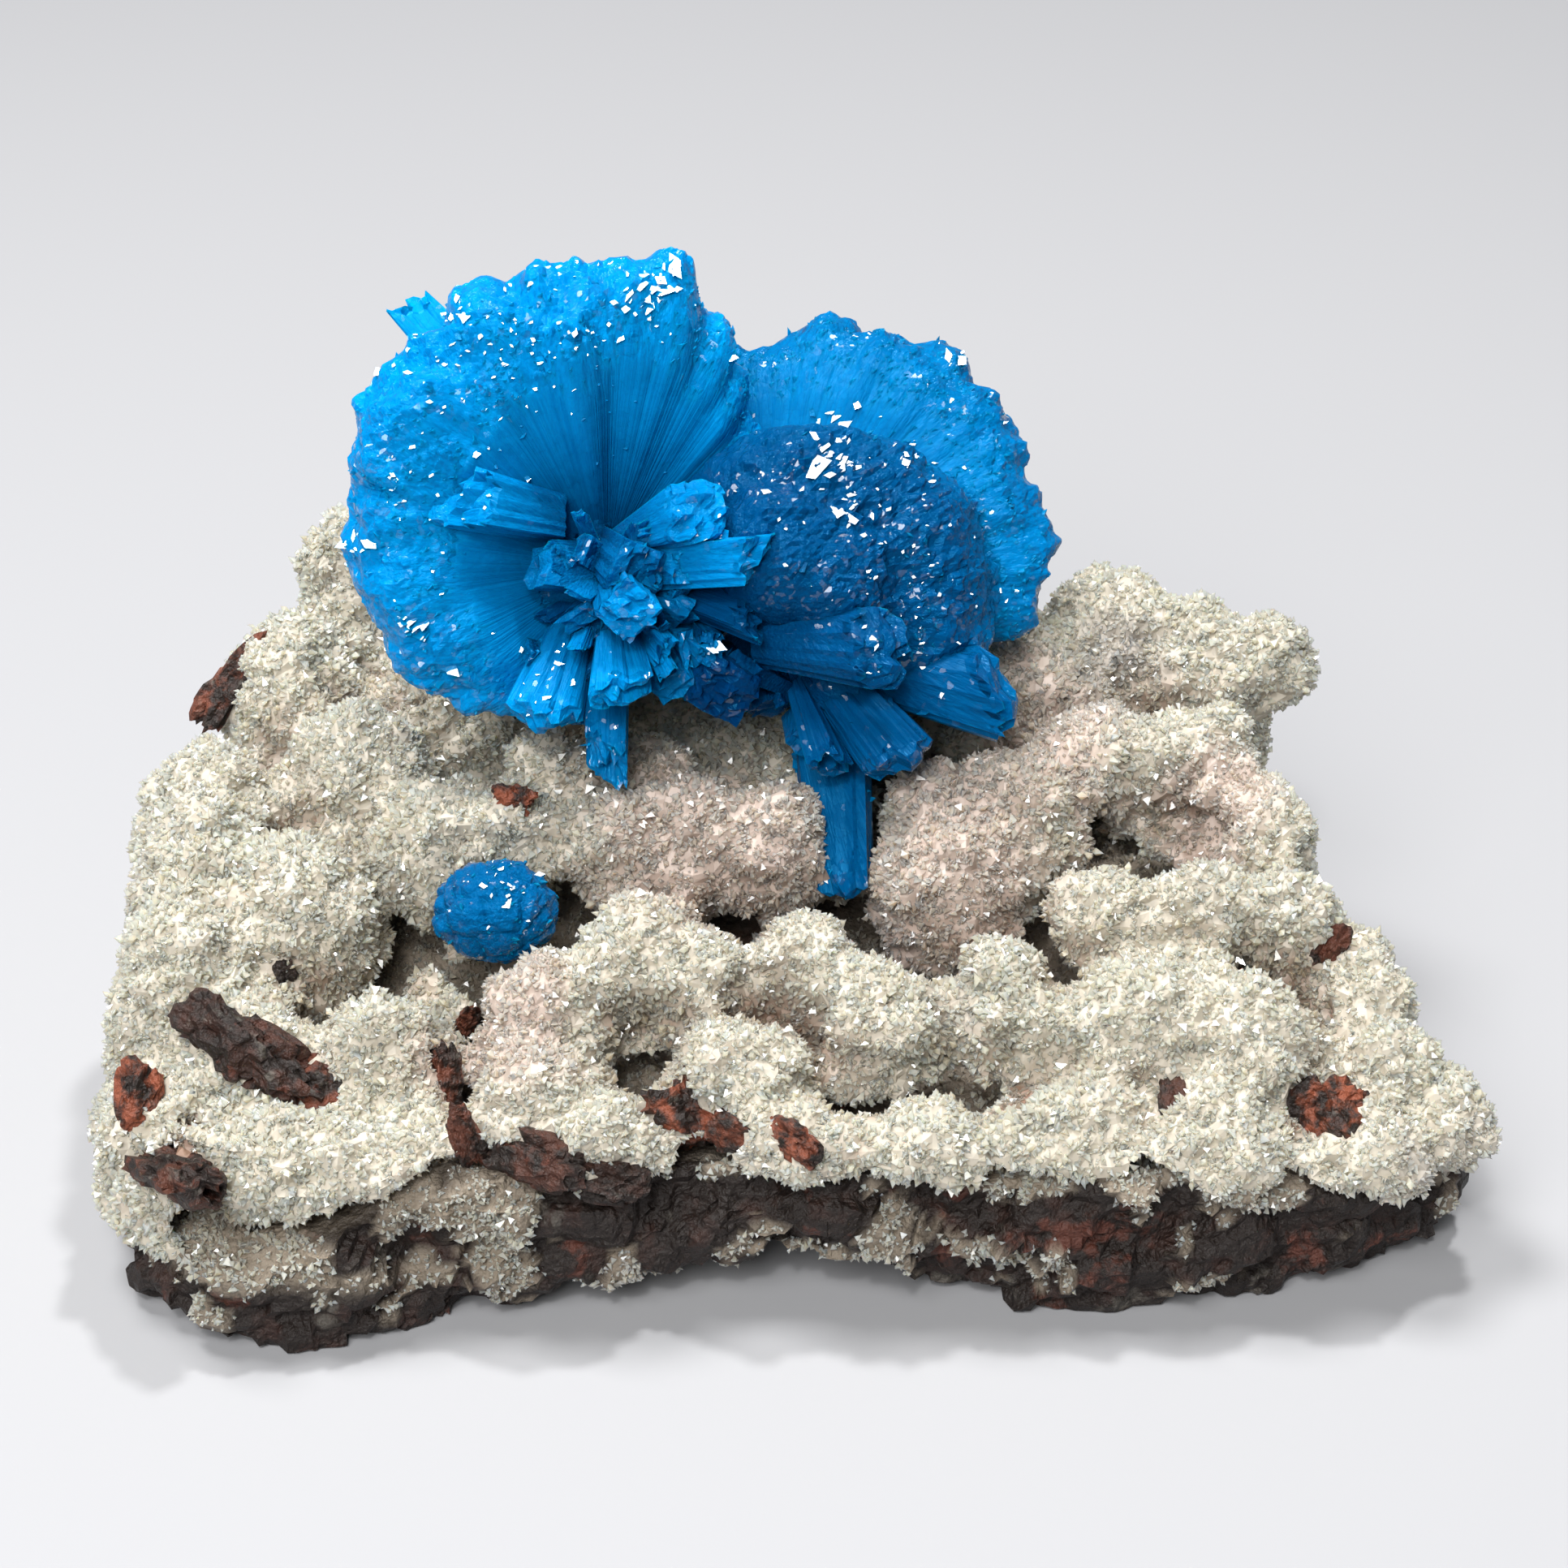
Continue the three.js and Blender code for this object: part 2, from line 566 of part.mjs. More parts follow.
// One block: blades side by side with flat faces, and a slanting, uneven end
function block(heart, { start, end, size, turn, flare }, seed, grow) {
  const from = viewStep(...start);
  const axis = viewStep(...end).sub(from);
  const length = axis.length();
  axis.normalize();
  const side = axis.clone().cross(TOWARDS).normalize().applyAxisAngle(axis, degToRad(turn));
  const other = axis.clone().cross(side);
  const geometry = moveVertices(new THREE.BoxGeometry(2, 2, 2), (p) => {
    const far = p.z > 0;
    const [wide, thick] = far ? [1, 1] : [flare, Math.sqrt(flare)];
    const uneven = far ? length * UNEVEN_BLADES * (hash(p.x, p.y, seed) - 0.5) : 0;
    const along = far ? length + grow + uneven : -grow;
    const [across, through] = [(p.x * (size[0] * wide)) / 2, (p.y * (size[1] * thick)) / 2];
    p.copy(from).addScaledVector(axis, along);
    p.addScaledVector(side, across + Math.sign(across) * grow);
    p.addScaledVector(other, through + Math.sign(through) * grow);
  });
  return solidOf(geometry.translate(...heart));
}

// Solid blue at each heart, where the sheaves start
const HEART_RADIUS = 3;

function rosettes(grow = 0) {
  const hearts = [LEFT_HEART, RIGHT_HEART].map((at, i) =>
    lump({ at, radii: Array(3).fill(HEART_RADIUS + grow), detail: 1, seed: i + 40 }),
  );
  return joined([
    ...hearts,
    ...LEFT_SHEAVES.map((row, i) => sheaf(LEFT_HEART, row, i + 1, grow)),
    ...RIGHT_SHEAVES.map((row, i) => sheaf(RIGHT_HEART, row, i + 60, grow)),
    ...LEFT_BLOCKS.map((row, i) => block(LEFT_HEART, row, i + 120, grow)),
    ...RIGHT_BLOCKS.map((row, i) => block(RIGHT_HEART, row, i + 160, grow)),
  ]);
}

const BALL_AT = [-14.2, -7, 15.6];
const BALL_RADII = [3.2, 2.6, 2.6];

function ballBody(grow = 0) {
  const radii = BALL_RADII.map((radius) => radius + grow);
  return lump({ at: BALL_AT, radii, rough: 0.12, knobs: 4, detail: 2, seed: 200 });
}

// The specimen
const basalt = new THREE.MeshStandardMaterial({ color: 0x4a3530, roughness: 0.9, metalness: 0 });
const stilbite = new THREE.MeshStandardMaterial({ color: 0xcfc6b8, roughness: 0.45, metalness: 0 });
const cavansite = new THREE.MeshStandardMaterial({ color: 0x0877c4, roughness: 0.25, metalness: 0 });

const specimen = new THREE.Group();
specimen.add(meshOf(basaltBody(), "basalt_matrix", basalt));
specimen.add(meshOf(druseBody(rosettes(GAP), ballBody(GAP)), "stilbite_druse", stilbite));
specimen.add(meshOf(mainBody(rosettes().subtract(basaltBody(GAP))), "cavansite_rosettes", cavansite));
specimen.add(meshOf(ballBody(), "cavansite_ball", cavansite));

// The origin is the middle of the footprint's box, on the surface that the rock rests on
const box = new THREE.Box3().setFromObject(specimen);
const centre = box.getCenter(new THREE.Vector3());
specimen.position.set(-centre.x, -centre.y, -box.min.z);

export default specimen;
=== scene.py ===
"""A cavansite specimen, dressed for its photograph: two azure rosettes and a small blue ball,
on a sugary druse of stilbite over a broken piece of basalt. Blender 4.5, metres, the CAD's frame."""
import math

import bmesh
import bpy
import numpy as np
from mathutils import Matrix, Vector
from mathutils.bvhtree import BVHTree


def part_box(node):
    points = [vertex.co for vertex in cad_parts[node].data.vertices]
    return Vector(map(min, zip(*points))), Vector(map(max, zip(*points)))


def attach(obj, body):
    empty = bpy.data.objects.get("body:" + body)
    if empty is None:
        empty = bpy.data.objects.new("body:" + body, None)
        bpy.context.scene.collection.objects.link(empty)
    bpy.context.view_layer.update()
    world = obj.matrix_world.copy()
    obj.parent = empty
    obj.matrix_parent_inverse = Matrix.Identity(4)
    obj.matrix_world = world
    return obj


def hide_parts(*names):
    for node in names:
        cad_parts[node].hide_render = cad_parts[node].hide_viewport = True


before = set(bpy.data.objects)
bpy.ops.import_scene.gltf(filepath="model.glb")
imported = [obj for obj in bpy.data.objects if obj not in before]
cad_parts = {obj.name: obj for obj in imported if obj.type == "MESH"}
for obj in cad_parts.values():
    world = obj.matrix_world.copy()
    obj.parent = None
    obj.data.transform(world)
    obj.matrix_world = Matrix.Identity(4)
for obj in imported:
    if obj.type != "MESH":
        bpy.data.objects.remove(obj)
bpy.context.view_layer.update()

# Basalt matrix
# The host rock is a broken slab of dark brown lava. It splits along rough ledges, and its
# weathered faces are stained with rust and grey clay. Its underside is the flat rest.
MM = 0.001
BASALT_GRAIN_MM = 0.46
BASALT_LEDGE_MM = 1.5
SUNK_UNDER_CRUST_MM = 3.2
ROCK_CRUST_MM = 0.35
REST_GAP_MM = 0.02
EDGE_LEFT_MM = 4.6
EDGE_RISE_MM = 3.8
EDGE_DROP_MM = 3
EDGE_BACK_MM = 11
BARE_FOOT_MM = 3.2
BASALT_DARK = (0.014, 0.009, 0.007, 1)
BASALT_BROWN = (0.032, 0.015, 0.011, 1)
BASALT_RUST = (0.085, 0.027, 0.017, 1)
BASALT_CLAY = (0.075, 0.066, 0.055, 1)
ROCK_CRUST = (0.20, 0.165, 0.125, 1)


def lattice_value(i, j, k, seed):
    """A repeatable random value from -1 to 1 for each whole-number corner."""
    mixed = (i * 73856093) ^ (j * 19349663) ^ (k * 83492791) ^ (seed * 2654435761)
    mixed = (mixed ^ (mixed >> 13)) * 1274126177 & 0x7FFFFFFF
    mixed = (mixed ^ (mixed >> 16)) & 0xFFFF
    return mixed / 32767.5 - 1


def rough_noise(points, size, seed):
    """Smooth noise from -1 to 1 at points in millimetres, with bumps of the given size."""
    cell = points / size
    low = np.floor(cell).astype(np.int64)
    t = cell - low
    t = t * t * (3 - 2 * t)
    total = np.zeros(len(points))
    for di in (0, 1):
        for dj in (0, 1):
            for dk in (0, 1):
                weight = np.ones(len(points))
                for axis, step in enumerate((di, dj, dk)):
                    weight *= t[:, axis] if step else 1 - t[:, axis]
                total += weight * lattice_value(low[:, 0] + di, low[:, 1] + dj, low[:, 2] + dk, seed)
    return total


def cells(points, size, seed):
    """Broken blocks: a value from -1 to 1 for each block, and 1 inside to 0 at its edge."""
    cell = points / size
    low = np.floor(cell).astype(np.int64)
    nearest = np.full(len(points), 9.0)
    second = np.full(len(points), 9.0)
    value = np.zeros(len(points))
    for di in (-1, 0, 1):
        for dj in (-1, 0, 1):
            for dk in (-1, 0, 1):
                corner = low + (di, dj, dk)
                key = (corner[:, 0], corner[:, 1], corner[:, 2])
                jitter = np.stack([lattice_value(*key, seed + 7 * axis) for axis in range(3)], axis=1)
                away = np.linalg.norm(cell - corner - 0.5 - 0.42 * jitter, axis=1)
                closer = away < nearest
                second = np.where(closer, nearest, np.minimum(second, away))
                value = np.where(closer, lattice_value(*key, seed + 40), value)
                nearest = np.minimum(nearest, away)
    return value, np.clip(second - nearest, 0, 1)


def layered_noise(points, size, seed, layers=3):
    """Noise with finer and weaker layers on it."""
    total = np.zeros(len(points))
    for layer in range(layers):
        total += rough_noise(points, size / 2**layer, seed + layer) / 1.7**layer
    return total


def mesh_piece(name, points, triangles, smooth=False, **shades):
    """A mesh object from points in millimetres. Each shade is a value for every point."""
    mesh = bpy.data.meshes.new(name)
    mesh.vertices.add(len(points))
    mesh.vertices.foreach_set("co", (points * MM).astype(np.float32).ravel())
    mesh.loops.add(3 * len(triangles))
    mesh.loops.foreach_set("vertex_index", triangles.astype(np.int32).ravel())
    mesh.polygons.add(len(triangles))
    mesh.polygons.foreach_set("loop_start", np.arange(0, 3 * len(triangles), 3, dtype=np.int32))
    mesh.update(calc_edges=True)
    mesh.polygons.foreach_set("use_smooth", np.broadcast_to(smooth, len(triangles)).astype(np.int8))
    for shade, values in shades.items():
        layer = mesh.attributes.new(shade, "FLOAT", "POINT")
        layer.data.foreach_set("value", values.astype(np.float32))
    piece = bpy.data.objects.new(name, mesh)
    bpy.context.collection.objects.link(piece)
    return piece


def mesh_points(mesh):
    """Points, triangles and point normals of a mesh, in millimetres."""
    mesh.calc_loop_triangles()
    points = np.empty(3 * len(mesh.vertices), np.float32)
    mesh.vertices.foreach_get("co", points)
    normals = np.empty(3 * len(mesh.vertices), np.float32)
    mesh.vertex_normals.foreach_get("vector", normals)
    triangles = np.empty(3 * len(mesh.loop_triangles), np.int32)
    mesh.loop_triangles.foreach_get("vertices", triangles)
    return (
        points.reshape(-1, 3).astype(float) / MM,
        triangles.reshape(-1, 3),
        normals.reshape(-1, 3).astype(float),
    )


def even_grain(points, triangles, grain, rounds=0):
    """One closed skin of even grain round closed shapes, smoothed by some rounds."""
    rough = mesh_piece("remesh_source", points, triangles)
    remesh = rough.modifiers.new("grain", "REMESH")
    remesh.mode = "VOXEL"
    remesh.voxel_size = grain * MM
    remesh.adaptivity = 0
    if rounds:
        softer = rough.modifiers.new("soften", "SMOOTH")
        softer.factor = 0.5
        softer.iterations = rounds
    depsgraph = bpy.context.evaluated_depsgraph_get()
    mesh = bpy.data.meshes.new_from_object(rough.evaluated_get(depsgraph))
    bpy.data.objects.remove(rough)
    found = mesh_points(mesh)
    bpy.data.meshes.remove(mesh)
    return found


def unit(vectors):
    return vectors / np.maximum(np.linalg.norm(vectors, axis=-1, keepdims=True), 1e-9)


def smooth_step(value, low, high):
    t = np.clip((value - low) / (high - low), 0, 1)
    return t * t * (3 - 2 * t)


def node(tree, kind, place, **values):
    """A shader node, with its settings given by name."""
    made = tree.nodes.new(kind)
    made.location = place
    for key, value in values.items():
        setattr(made, key, value)
    return made


def blotches_group():
    """Mask of soft-edged patches, for stains, clay and tints. Size is in millimetres."""
    group = bpy.data.node_groups.new("stone blotches", "ShaderNodeTree")
    for label, value in (("Size", 5.0), ("Amount", 0.5), ("Softness", 0.1), ("Seed", 0.0)):
        socket = group.interface.new_socket(label, in_out="INPUT", socket_type="NodeSocketFloat")
        socket.default_value = value
    group.interface.new_socket("Mask", in_out="OUTPUT", socket_type="NodeSocketFloat")
    entry = node(group, "NodeGroupInput", (-900, 0))
    place = node(group, "ShaderNodeTexCoord", (-900, 300))
    scale = node(group, "ShaderNodeMath", (-700, 0), operation="DIVIDE")
    scale.inputs[0].default_value = 1000
    noise = node(group, "ShaderNodeTexNoise", (-500, 100), noise_dimensions="4D")
    noise.inputs["Detail"].default_value = 5
    noise.inputs["Roughness"].default_value = 0.6
    low = node(group, "ShaderNodeMath", (-500, -200), operation="SUBTRACT")
    low.inputs[0].default_value = 1
    edge = node(group, "ShaderNodeMath", (-300, -200), operation="ADD")
    mask = node(group, "ShaderNodeMapRange", (-100, 0), interpolation_type="SMOOTHSTEP")
    leave = node(group, "NodeGroupOutput", (100, 0))
    link = group.links.new
    link(entry.outputs["Size"], scale.inputs[1])
    link(place.outputs["Object"], noise.inputs["Vector"])
    link(scale.outputs[0], noise.inputs["Scale"])
    link(entry.outputs["Seed"], noise.inputs["W"])
    link(entry.outputs["Amount"], low.inputs[1])
    link(low.outputs[0], edge.inputs[0])
    link(entry.outputs["Softness"], edge.inputs[1])
    link(noise.outputs[0], mask.inputs["Value"])
    link(low.outputs[0], mask.inputs["From Min"])
    link(edge.outputs[0], mask.inputs["From Max"])
    link(mask.outputs[0], leave.inputs["Mask"])
    return group


stone_blotches = blotches_group()


def blotches(tree, place, size, amount, softness, seed):
    """The patch mask, placed in one material with its own values."""
    patch = node(tree, "ShaderNodeGroup", place, node_tree=stone_blotches)
    for label, value in (("Size", size), ("Amount", amount), ("Softness", softness), ("Seed", seed)):
        patch.inputs[label].default_value = value
    return patch.outputs["Mask"]


def tint(tree, place, base, colour, mask):
    """Base colour, painted with another one where the mask is."""
    mix = node(tree, "ShaderNodeMix", place, data_type="RGBA")
    if isinstance(base, tuple):
        mix.inputs[6].default_value = base
    else:
        tree.links.new(base, mix.inputs[6])
    mix.inputs[7].default_value = colour
    tree.links.new(mask, mix.inputs[0])
    return mix.outputs[2]


def bump(tree, place, height, strength, distance, below=None):
    """A bump node, on top of another one if given."""
    made = node(tree, "ShaderNodeBump", place)
    made.inputs["Strength"].default_value = strength
    made.inputs["Distance"].default_value = distance
    tree.links.new(height, made.inputs["Height"])
    if below is not None:
        tree.links.new(below, made.inputs["Normal"])
    return made.outputs["Normal"]


def new_finish(name):
    """A new material, its node tree and its shader."""
    finish = bpy.data.materials.new(name)
    finish.use_nodes = True
    return finish, finish.node_tree, finish.node_tree.nodes["Principled BSDF"]


def attribute(tree, place, name):
    """A value that the mesh holds for every point."""
    return node(tree, "ShaderNodeAttribute", place, attribute_name=name).outputs["Fac"]


def basalt_finish(name, rust_amount, clay_amount, grain, seed):
    """Broken basalt: dark brown, with rust and grey clay in patches of a given grain."""
    finish, tree, shader = new_finish(name)
    brown = blotches(tree, (-1100, 300), 2.2 * grain, 0.52, 0.2, seed)
    rust = blotches(tree, (-1100, 100), 4.5 * grain, rust_amount, 0.08, seed + 4.1)
    clay = blotches(tree, (-1100, -100), 3.4 * grain, clay_amount, 0.1, seed + 8.7)
    colour = tint(tree, (-800, 300), BASALT_DARK, BASALT_BROWN, brown)
    colour = tint(tree, (-600, 300), colour, BASALT_RUST, rust)
    colour = tint(tree, (-400, 300), colour, BASALT_CLAY, clay)
    colour = tint(tree, (-200, 300), colour, ROCK_CRUST, attribute(tree, (-1100, -500), "crusted"))
    tree.links.new(colour, shader.inputs["Base Color"])
    place = node(tree, "ShaderNodeTexCoord", (-1100, -300))
    grit = node(tree, "ShaderNodeTexNoise", (-900, -300))
    grit.inputs["Scale"].default_value = 2200
    grit.inputs["Detail"].default_value = 6
    tree.links.new(place.outputs["Object"], grit.inputs["Vector"])
    tree.links.new(bump(tree, (-300, -300), grit.outputs[0], 0.9, 0.0006), shader.inputs["Normal"])
    shader.inputs["Roughness"].default_value = 0.5
    shader.inputs["Specular IOR Level"].default_value = 0.35
    return finish


ball_lo, ball_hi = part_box("cavansite_ball")
ball_centre = (np.array(ball_lo) + np.array(ball_hi)) / 2 / MM
MIDDLE_FROM_BALL_MM = (14.225, 7.02, -15.6)
ROCK_MIDDLE_MM = ball_centre + MIDDLE_FROM_BALL_MM


def crust_edge(x, y):
    """Height of the crust's lower edge, which hangs lowest at the two ends."""
    front = EDGE_LEFT_MM + EDGE_RISE_MM * smooth_step(x, -28, -14) - EDGE_DROP_MM * smooth_step(x, 22, 31)
    return front + (EDGE_BACK_MM - front) * smooth_step(y, -6, 10)


cad_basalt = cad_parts["basalt_matrix"]
basalt_shape, basalt_faces, _ = mesh_points(cad_basalt.data)
rock, rock_faces, rock_out = even_grain(basalt_shape, basalt_faces, BASALT_GRAIN_MM)
plan = rock - ROCK_MIDDLE_MM
covered = smooth_step(rock[:, 2] - crust_edge(plan[:, 0], plan[:, 1]), -0.5, 1.5)
blocks = 0.8 * cells(rock * (1, 1, 1.9), 6.5, 11)[0] + 0.45 * cells(rock * (1, 1, 1.6), 2.8, 12)[0]
crumbs = 0.5 * layered_noise(rock, 3, 21, 3) + 0.3 * cells(rock, 1.1, 23)[0]
rough = BASALT_LEDGE_MM * (blocks + crumbs) / 2
veins = layered_noise(rock * (1, 1, 1.3), 4.5, 61, 4)
near_edge = smooth_step(rock[:, 2] - crust_edge(plan[:, 0], plan[:, 1]), -3.2, -0.4)
bare = -0.4 + 1.2 * smooth_step(plan[:, 0], -36, -2) - 0.6 * near_edge
patches = smooth_step(veins, bare, bare + 0.12)
specks = smooth_step(layered_noise(rock, 1.6, 71, 2), 0.5, 0.6)
lowest = BARE_FOOT_MM - 2.6 * smooth_step(plan[:, 0], -20, -12)
patches = patches * smooth_step(rock[:, 2], lowest, lowest + 1)
patches = np.maximum(patches, specks * smooth_step(rock[:, 2], 0.6, 1.6))
rough = rough * (1 - 0.7 * covered) - SUNK_UNDER_CRUST_MM * covered + ROCK_CRUST_MM * patches
rock = rock + rock_out * rough[:, None]
underside = smooth_step(rock[:, 2], 0.2, 1.4)
rock[:, 2] = np.maximum(rock[:, 2], REST_GAP_MM + 0.1 * underside)
crusted = np.maximum(covered, patches)
basalt = mesh_piece("basalt_rock", rock, rock_faces, crusted=crusted)
basalt.data.materials.append(basalt_finish("broken basalt", 0.42, 0.42, 0.8, 1.0))
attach(basalt, "root")
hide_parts("basalt_matrix")

# Druse of stilbite
# A crust of tiny stilbite crystals grew over the whole upper side of the basalt and hangs down
# at both ends. It swells into rounded lumps, with pits and overhangs between them.
CRUST_DEPTH_MM = 0.9
BASE_DEPTH_MM = 4.6
THIN_CRUST_MM = 0.8
LEFT_ON_ROCK_MM = 1.8
THINNEST_MM = 0.6
LUMP_GRAIN_MM = 0.6
BED_GRAIN_MM = 0.5
LUMP_WIDTH_SHARE = 0.82
LUMP_LENGTH_SHARE = 0.8
PIT_DEPTH_MM = 4.5
OPEN_REACH_MM = 5
CREAM = (0.78, 0.71, 0.54, 1)
STILBITE_GREY = (0.50, 0.46, 0.42, 1)
STILBITE_TAN = (0.64, 0.50, 0.36, 1)
STILBITE_PINK = (0.60, 0.44, 0.39, 1)
# Brown for the creases and pits: partly stain, partly painted shade
CREASE_STAIN_AND_SHADE = (0.20, 0.12, 0.08, 1)
# The bed shows only in the gaps between crystals, so its colours are darker than theirs: painted shade in
# those gaps
BED_GREY = (0.44, 0.40, 0.33, 1)
BED_UMBER = (0.32, 0.29, 0.26, 1)
BED_TAN = (0.42, 0.32, 0.25, 1)
BED_PINK = (0.42, 0.30, 0.27, 1)
FRONT_SHELF_MM = 10.8
BACK_SHELF_MM = 20.5

# Where the crust is pinkish: x, y and radius
PINK_MM = [(-4, -2.2, 7), (8.4, -3.4, 5.5), (13, 3, 5), (-13, -13, 4), (22, 0, 3)]

# Lumps: x, y and how far each stands above the ramp, then its three radii
LUMPS_MM = [
    # the horn and the slope behind it
    (-23.6, 17, 5.2, 3.6, 3.6, 8),
    (-26.4, 12, 1.2, 4.4, 6, 6.5),
    (-29.5, 1.5, -0.6, 4.8, 6.5, 6.5),
    (-22, 4, 0.2, 5, 6, 5),
    (-17.5, 12, -1, 6, 5.5, 5),
    # the broad left flank
    (-29.4, -8, 1.6, 5.2, 6, 8),
    (-29, -2.5, 0.8, 5.2, 6, 8),
    (-24.5, -4.5, 0.6, 5.2, 5.2, 5.5),
    (-26.5, -12, 0.5, 5.6, 5, 6.2),
    (-31, -14.5, -1, 3.2, 4, 5.5),
    (-19.8, -12.3, 1, 4, 3.8, 4.4),
    (-23.5, -17, 0, 4.6, 3.9, 3.6),
    (-18.5, -17.6, -0.4, 3.8, 3.2, 3.4),
    # under the left rosette
    (-17.5, -1.2, 0.2, 4, 3.8, 4),
    (-13.8, -2.4, 0.6, 3.1, 2.5, 3.4),
    (-12, 1, 0.4, 3.2, 2.6, 3.2),
    # the long lump in the middle, and what lies behind it
    (-7.8, -2.4, 0.9, 4.1, 3, 3.8),
    (-4.2, -2.2, 1.5, 4.2, 3.2, 4.1),
    (-0.3, -2.2, 1.1, 3.5, 3.2, 3.9),
    (-7, 3.4, -1, 3.4, 3.2, 3),
    (-2, 8, -3, 8, 6, 4),
    # right of the cleft
    (8.2, -3.4, 0.8, 5.2, 4.2, 4.4),
    (7.4, -0.4, 0.4, 3.2, 3.4, 4),
    (11.6, -0.4, 0.9, 4.6, 4, 4.4),
    # the high mass at the back right, with its nose
    (13, 9, 2, 5.4, 5.6, 6),
    (17.4, 13, 3.2, 5.6, 5, 7),
    (22, 11, 2.6, 4.8, 4.8, 6.4),
    (25.8, 10, 2.6, 2.4, 2.6, 3),
    (17, 2.6, 0.9, 5, 2.9, 3),
    (21.8, 3.4, 0.9, 3, 2.6, 2.8),
    (24.6, -0.6, -0.6, 3.2, 4.6, 5.4),
    (8, 15, -0.6, 7, 4.6, 4.4),
    (-6, 15, -1, 9, 4.6, 4.4),
    # the long low ridge on the right
    (16.2, -6.8, 1.5, 4, 2.6, 2.9),
    (20.8, -6.6, 1.9, 4.2, 2.6, 3),
    (25, -6.4, 1, 3.8, 3, 3.2),
    # the right flank, down to the tip
    (28.8, -8, -1, 3.2, 4.2, 4.6),
    (29.4, -12, -1, 3.6, 3.6, 4),
    (32.6, -13.6, -2.2, 3.2, 2.9, 3),
    (28, -16.6, -0.6, 3.8, 3.4, 3.9),
    # the front row, from left to right
    (-7, -8, 1.7, 4, 3.8, 4),
    (-11.5, -11, 1.9, 4.2, 3.8, 4.4),
    (-12.2, -15, 1.5, 5, 4.4, 5),
    (-8.8, -17.6, 0.9, 5, 3.3, 4),
    (-2.2, -14.3, 2.1, 4.2, 3.2, 3.6),
    (-3.4, -9.6, 0.9, 3.2, 3.2, 3.6),
    (1.6, -8.8, 1.6, 3.3, 3.1, 3.5),
    (5, -11.4, 2.1, 3.7, 3.5, 3.9),
    (10.6, -9.9, 1.5, 3, 2.8, 3.3),
    (11.2, -12.4, 1.4, 2.6, 2.4, 3),
    (17.2, -11.8, 2.4, 5.2, 4.2, 4.8),
    (22.6, -12.4, 2, 4.4, 4.2, 4.6),
    (1, -17.8, 0.5, 4.6, 2.9, 3),
    (7, -17.8, 0.9, 4.6, 2.9, 3.3),
    (13.6, -17, 0.9, 4.6, 3.2, 3.6),
    (20.6, -17, 0.7, 4.6, 3.4, 3.7),
]

# Pits: the middle of each and its three radii
PITS_MM = [
    (-18.8, -7.2, 15.6, 1.6, 2.2, 4.4),
    (-14, -6.6, 18, 4, 2.7, 3.8),
    (-10.9, -3.4, 20.5, 0.9, 2, 3),
    (-1, -11.8, 14.5, 2.1, 1.6, 4.4),
    (2.8, -15.2, 12.8, 2, 1.7, 3.8),
    (10.4, -14.6, 13, 2.2, 1.5, 3.4),
    (8.4, -7.6, 16.8, 2.2, 1.5, 3.8),
    (-4, -5.6, 18, 4.6, 1.3, 3.8),
    (18.6, -2, 19.4, 4.8, 2.6, 5),
    (19.6, 1.2, 22, 1.5, 1.2, 2),
    (-15.6, -14.4, 12.8, 1.2, 2.8, 3.8),
    (3.1, 0.4, 17, 1.6, 3.2, 5),
    (22, -9.4, 16.6, 4, 1, 2.4),
]


def ramp(y):
    """Height of the crust's general slope at a depth from the front, in millimetres."""
    share = smooth_step(np.asarray(y, float), -20, 4)
    return FRONT_SHELF_MM + (BACK_SHELF_MM - FRONT_SHELF_MM) * share


def rounded_lump(centre, radii, detail=4):
    """Points and triangles of an ellipsoid."""
    ball = bmesh.new()
    bmesh.ops.create_icosphere(ball, subdivisions=detail, radius=1)
    points = np.array([vertex.co for vertex in ball.verts]) * radii + centre
    faces = np.array([[vertex.index for vertex in face.verts] for face in ball.faces])
    ball.free()
    return points, faces


def together(shapes):
    """Points and triangles of several shapes as one list."""
    points, faces, offset = [], [], 0
    for shape_points, shape_faces in shapes:
        points.append(shape_points)
        faces.append(shape_faces + offset)
        offset += len(shape_points)
    return np.vstack(points), np.vstack(faces)


def knobs(points, size, seed):
    """Cauliflower knobs of one size: 1 on top of a knob, 0 in the creases between them."""
    return np.sqrt(cells(points, size, seed)[1])


def clearance(points, way, skin, most):
    """How far each point can move one way before it comes near a skin, up to a limit."""
    found = np.full(len(points), float(most))
    for i, place in enumerate(points):
        distance = skin.ray_cast(Vector(place), Vector(way), most + THIN_CRUST_MM)[3]
        if distance is not None:
            found[i] = max(distance - THIN_CRUST_MM, 0)
    return found


def carve(points, pits, floor):
    """Press pits down into a skin from above and in front, but not through to the floor."""
    down = unit(np.array([0, 0.35, -1.0]))
    for x, y, z, rx, ry, rz in pits:
        radii = np.array([rx, ry, rz])
        local = (points - ROCK_MIDDLE_MM - (x, y, z)) / radii
        way = down / radii
        along = local @ way
        inside = (local**2).sum(axis=1)
        reach = along**2 - (way @ way) * (inside - 1)
        hit = (inside < 1) & (reach > 0)
        step = (-along + np.sqrt(np.maximum(reach, 0))) / (way @ way)
        step = np.where(hit, np.minimum(step, PIT_DEPTH_MM), 0)
        step[hit] = np.minimum(step[hit], clearance(points[hit], down, floor, PIT_DEPTH_MM))
        points = points + step[:, None] * down
    return points


def pinkness(points):
    """How pink the crust is at each point, from 0 to 1."""
    away = points[:, :2] - ROCK_MIDDLE_MM[:2]
    found = np.zeros(len(points))
    for x, y, radius in PINK_MM:
        distance = np.linalg.norm(away - (x, y), axis=1) + 1.5 * rough_noise(points, 2.5, 87)
        found = np.maximum(found, 1 - smooth_step(distance, 0.5 * radius, 1.3 * radius))
    return found


def crossed(out, random):
    """Two unit directions across each outward one, turned at random."""
    other = unit(random.normal(size=out.shape))
    first = unit(np.cross(out, other))
    return first, np.cross(out, first)


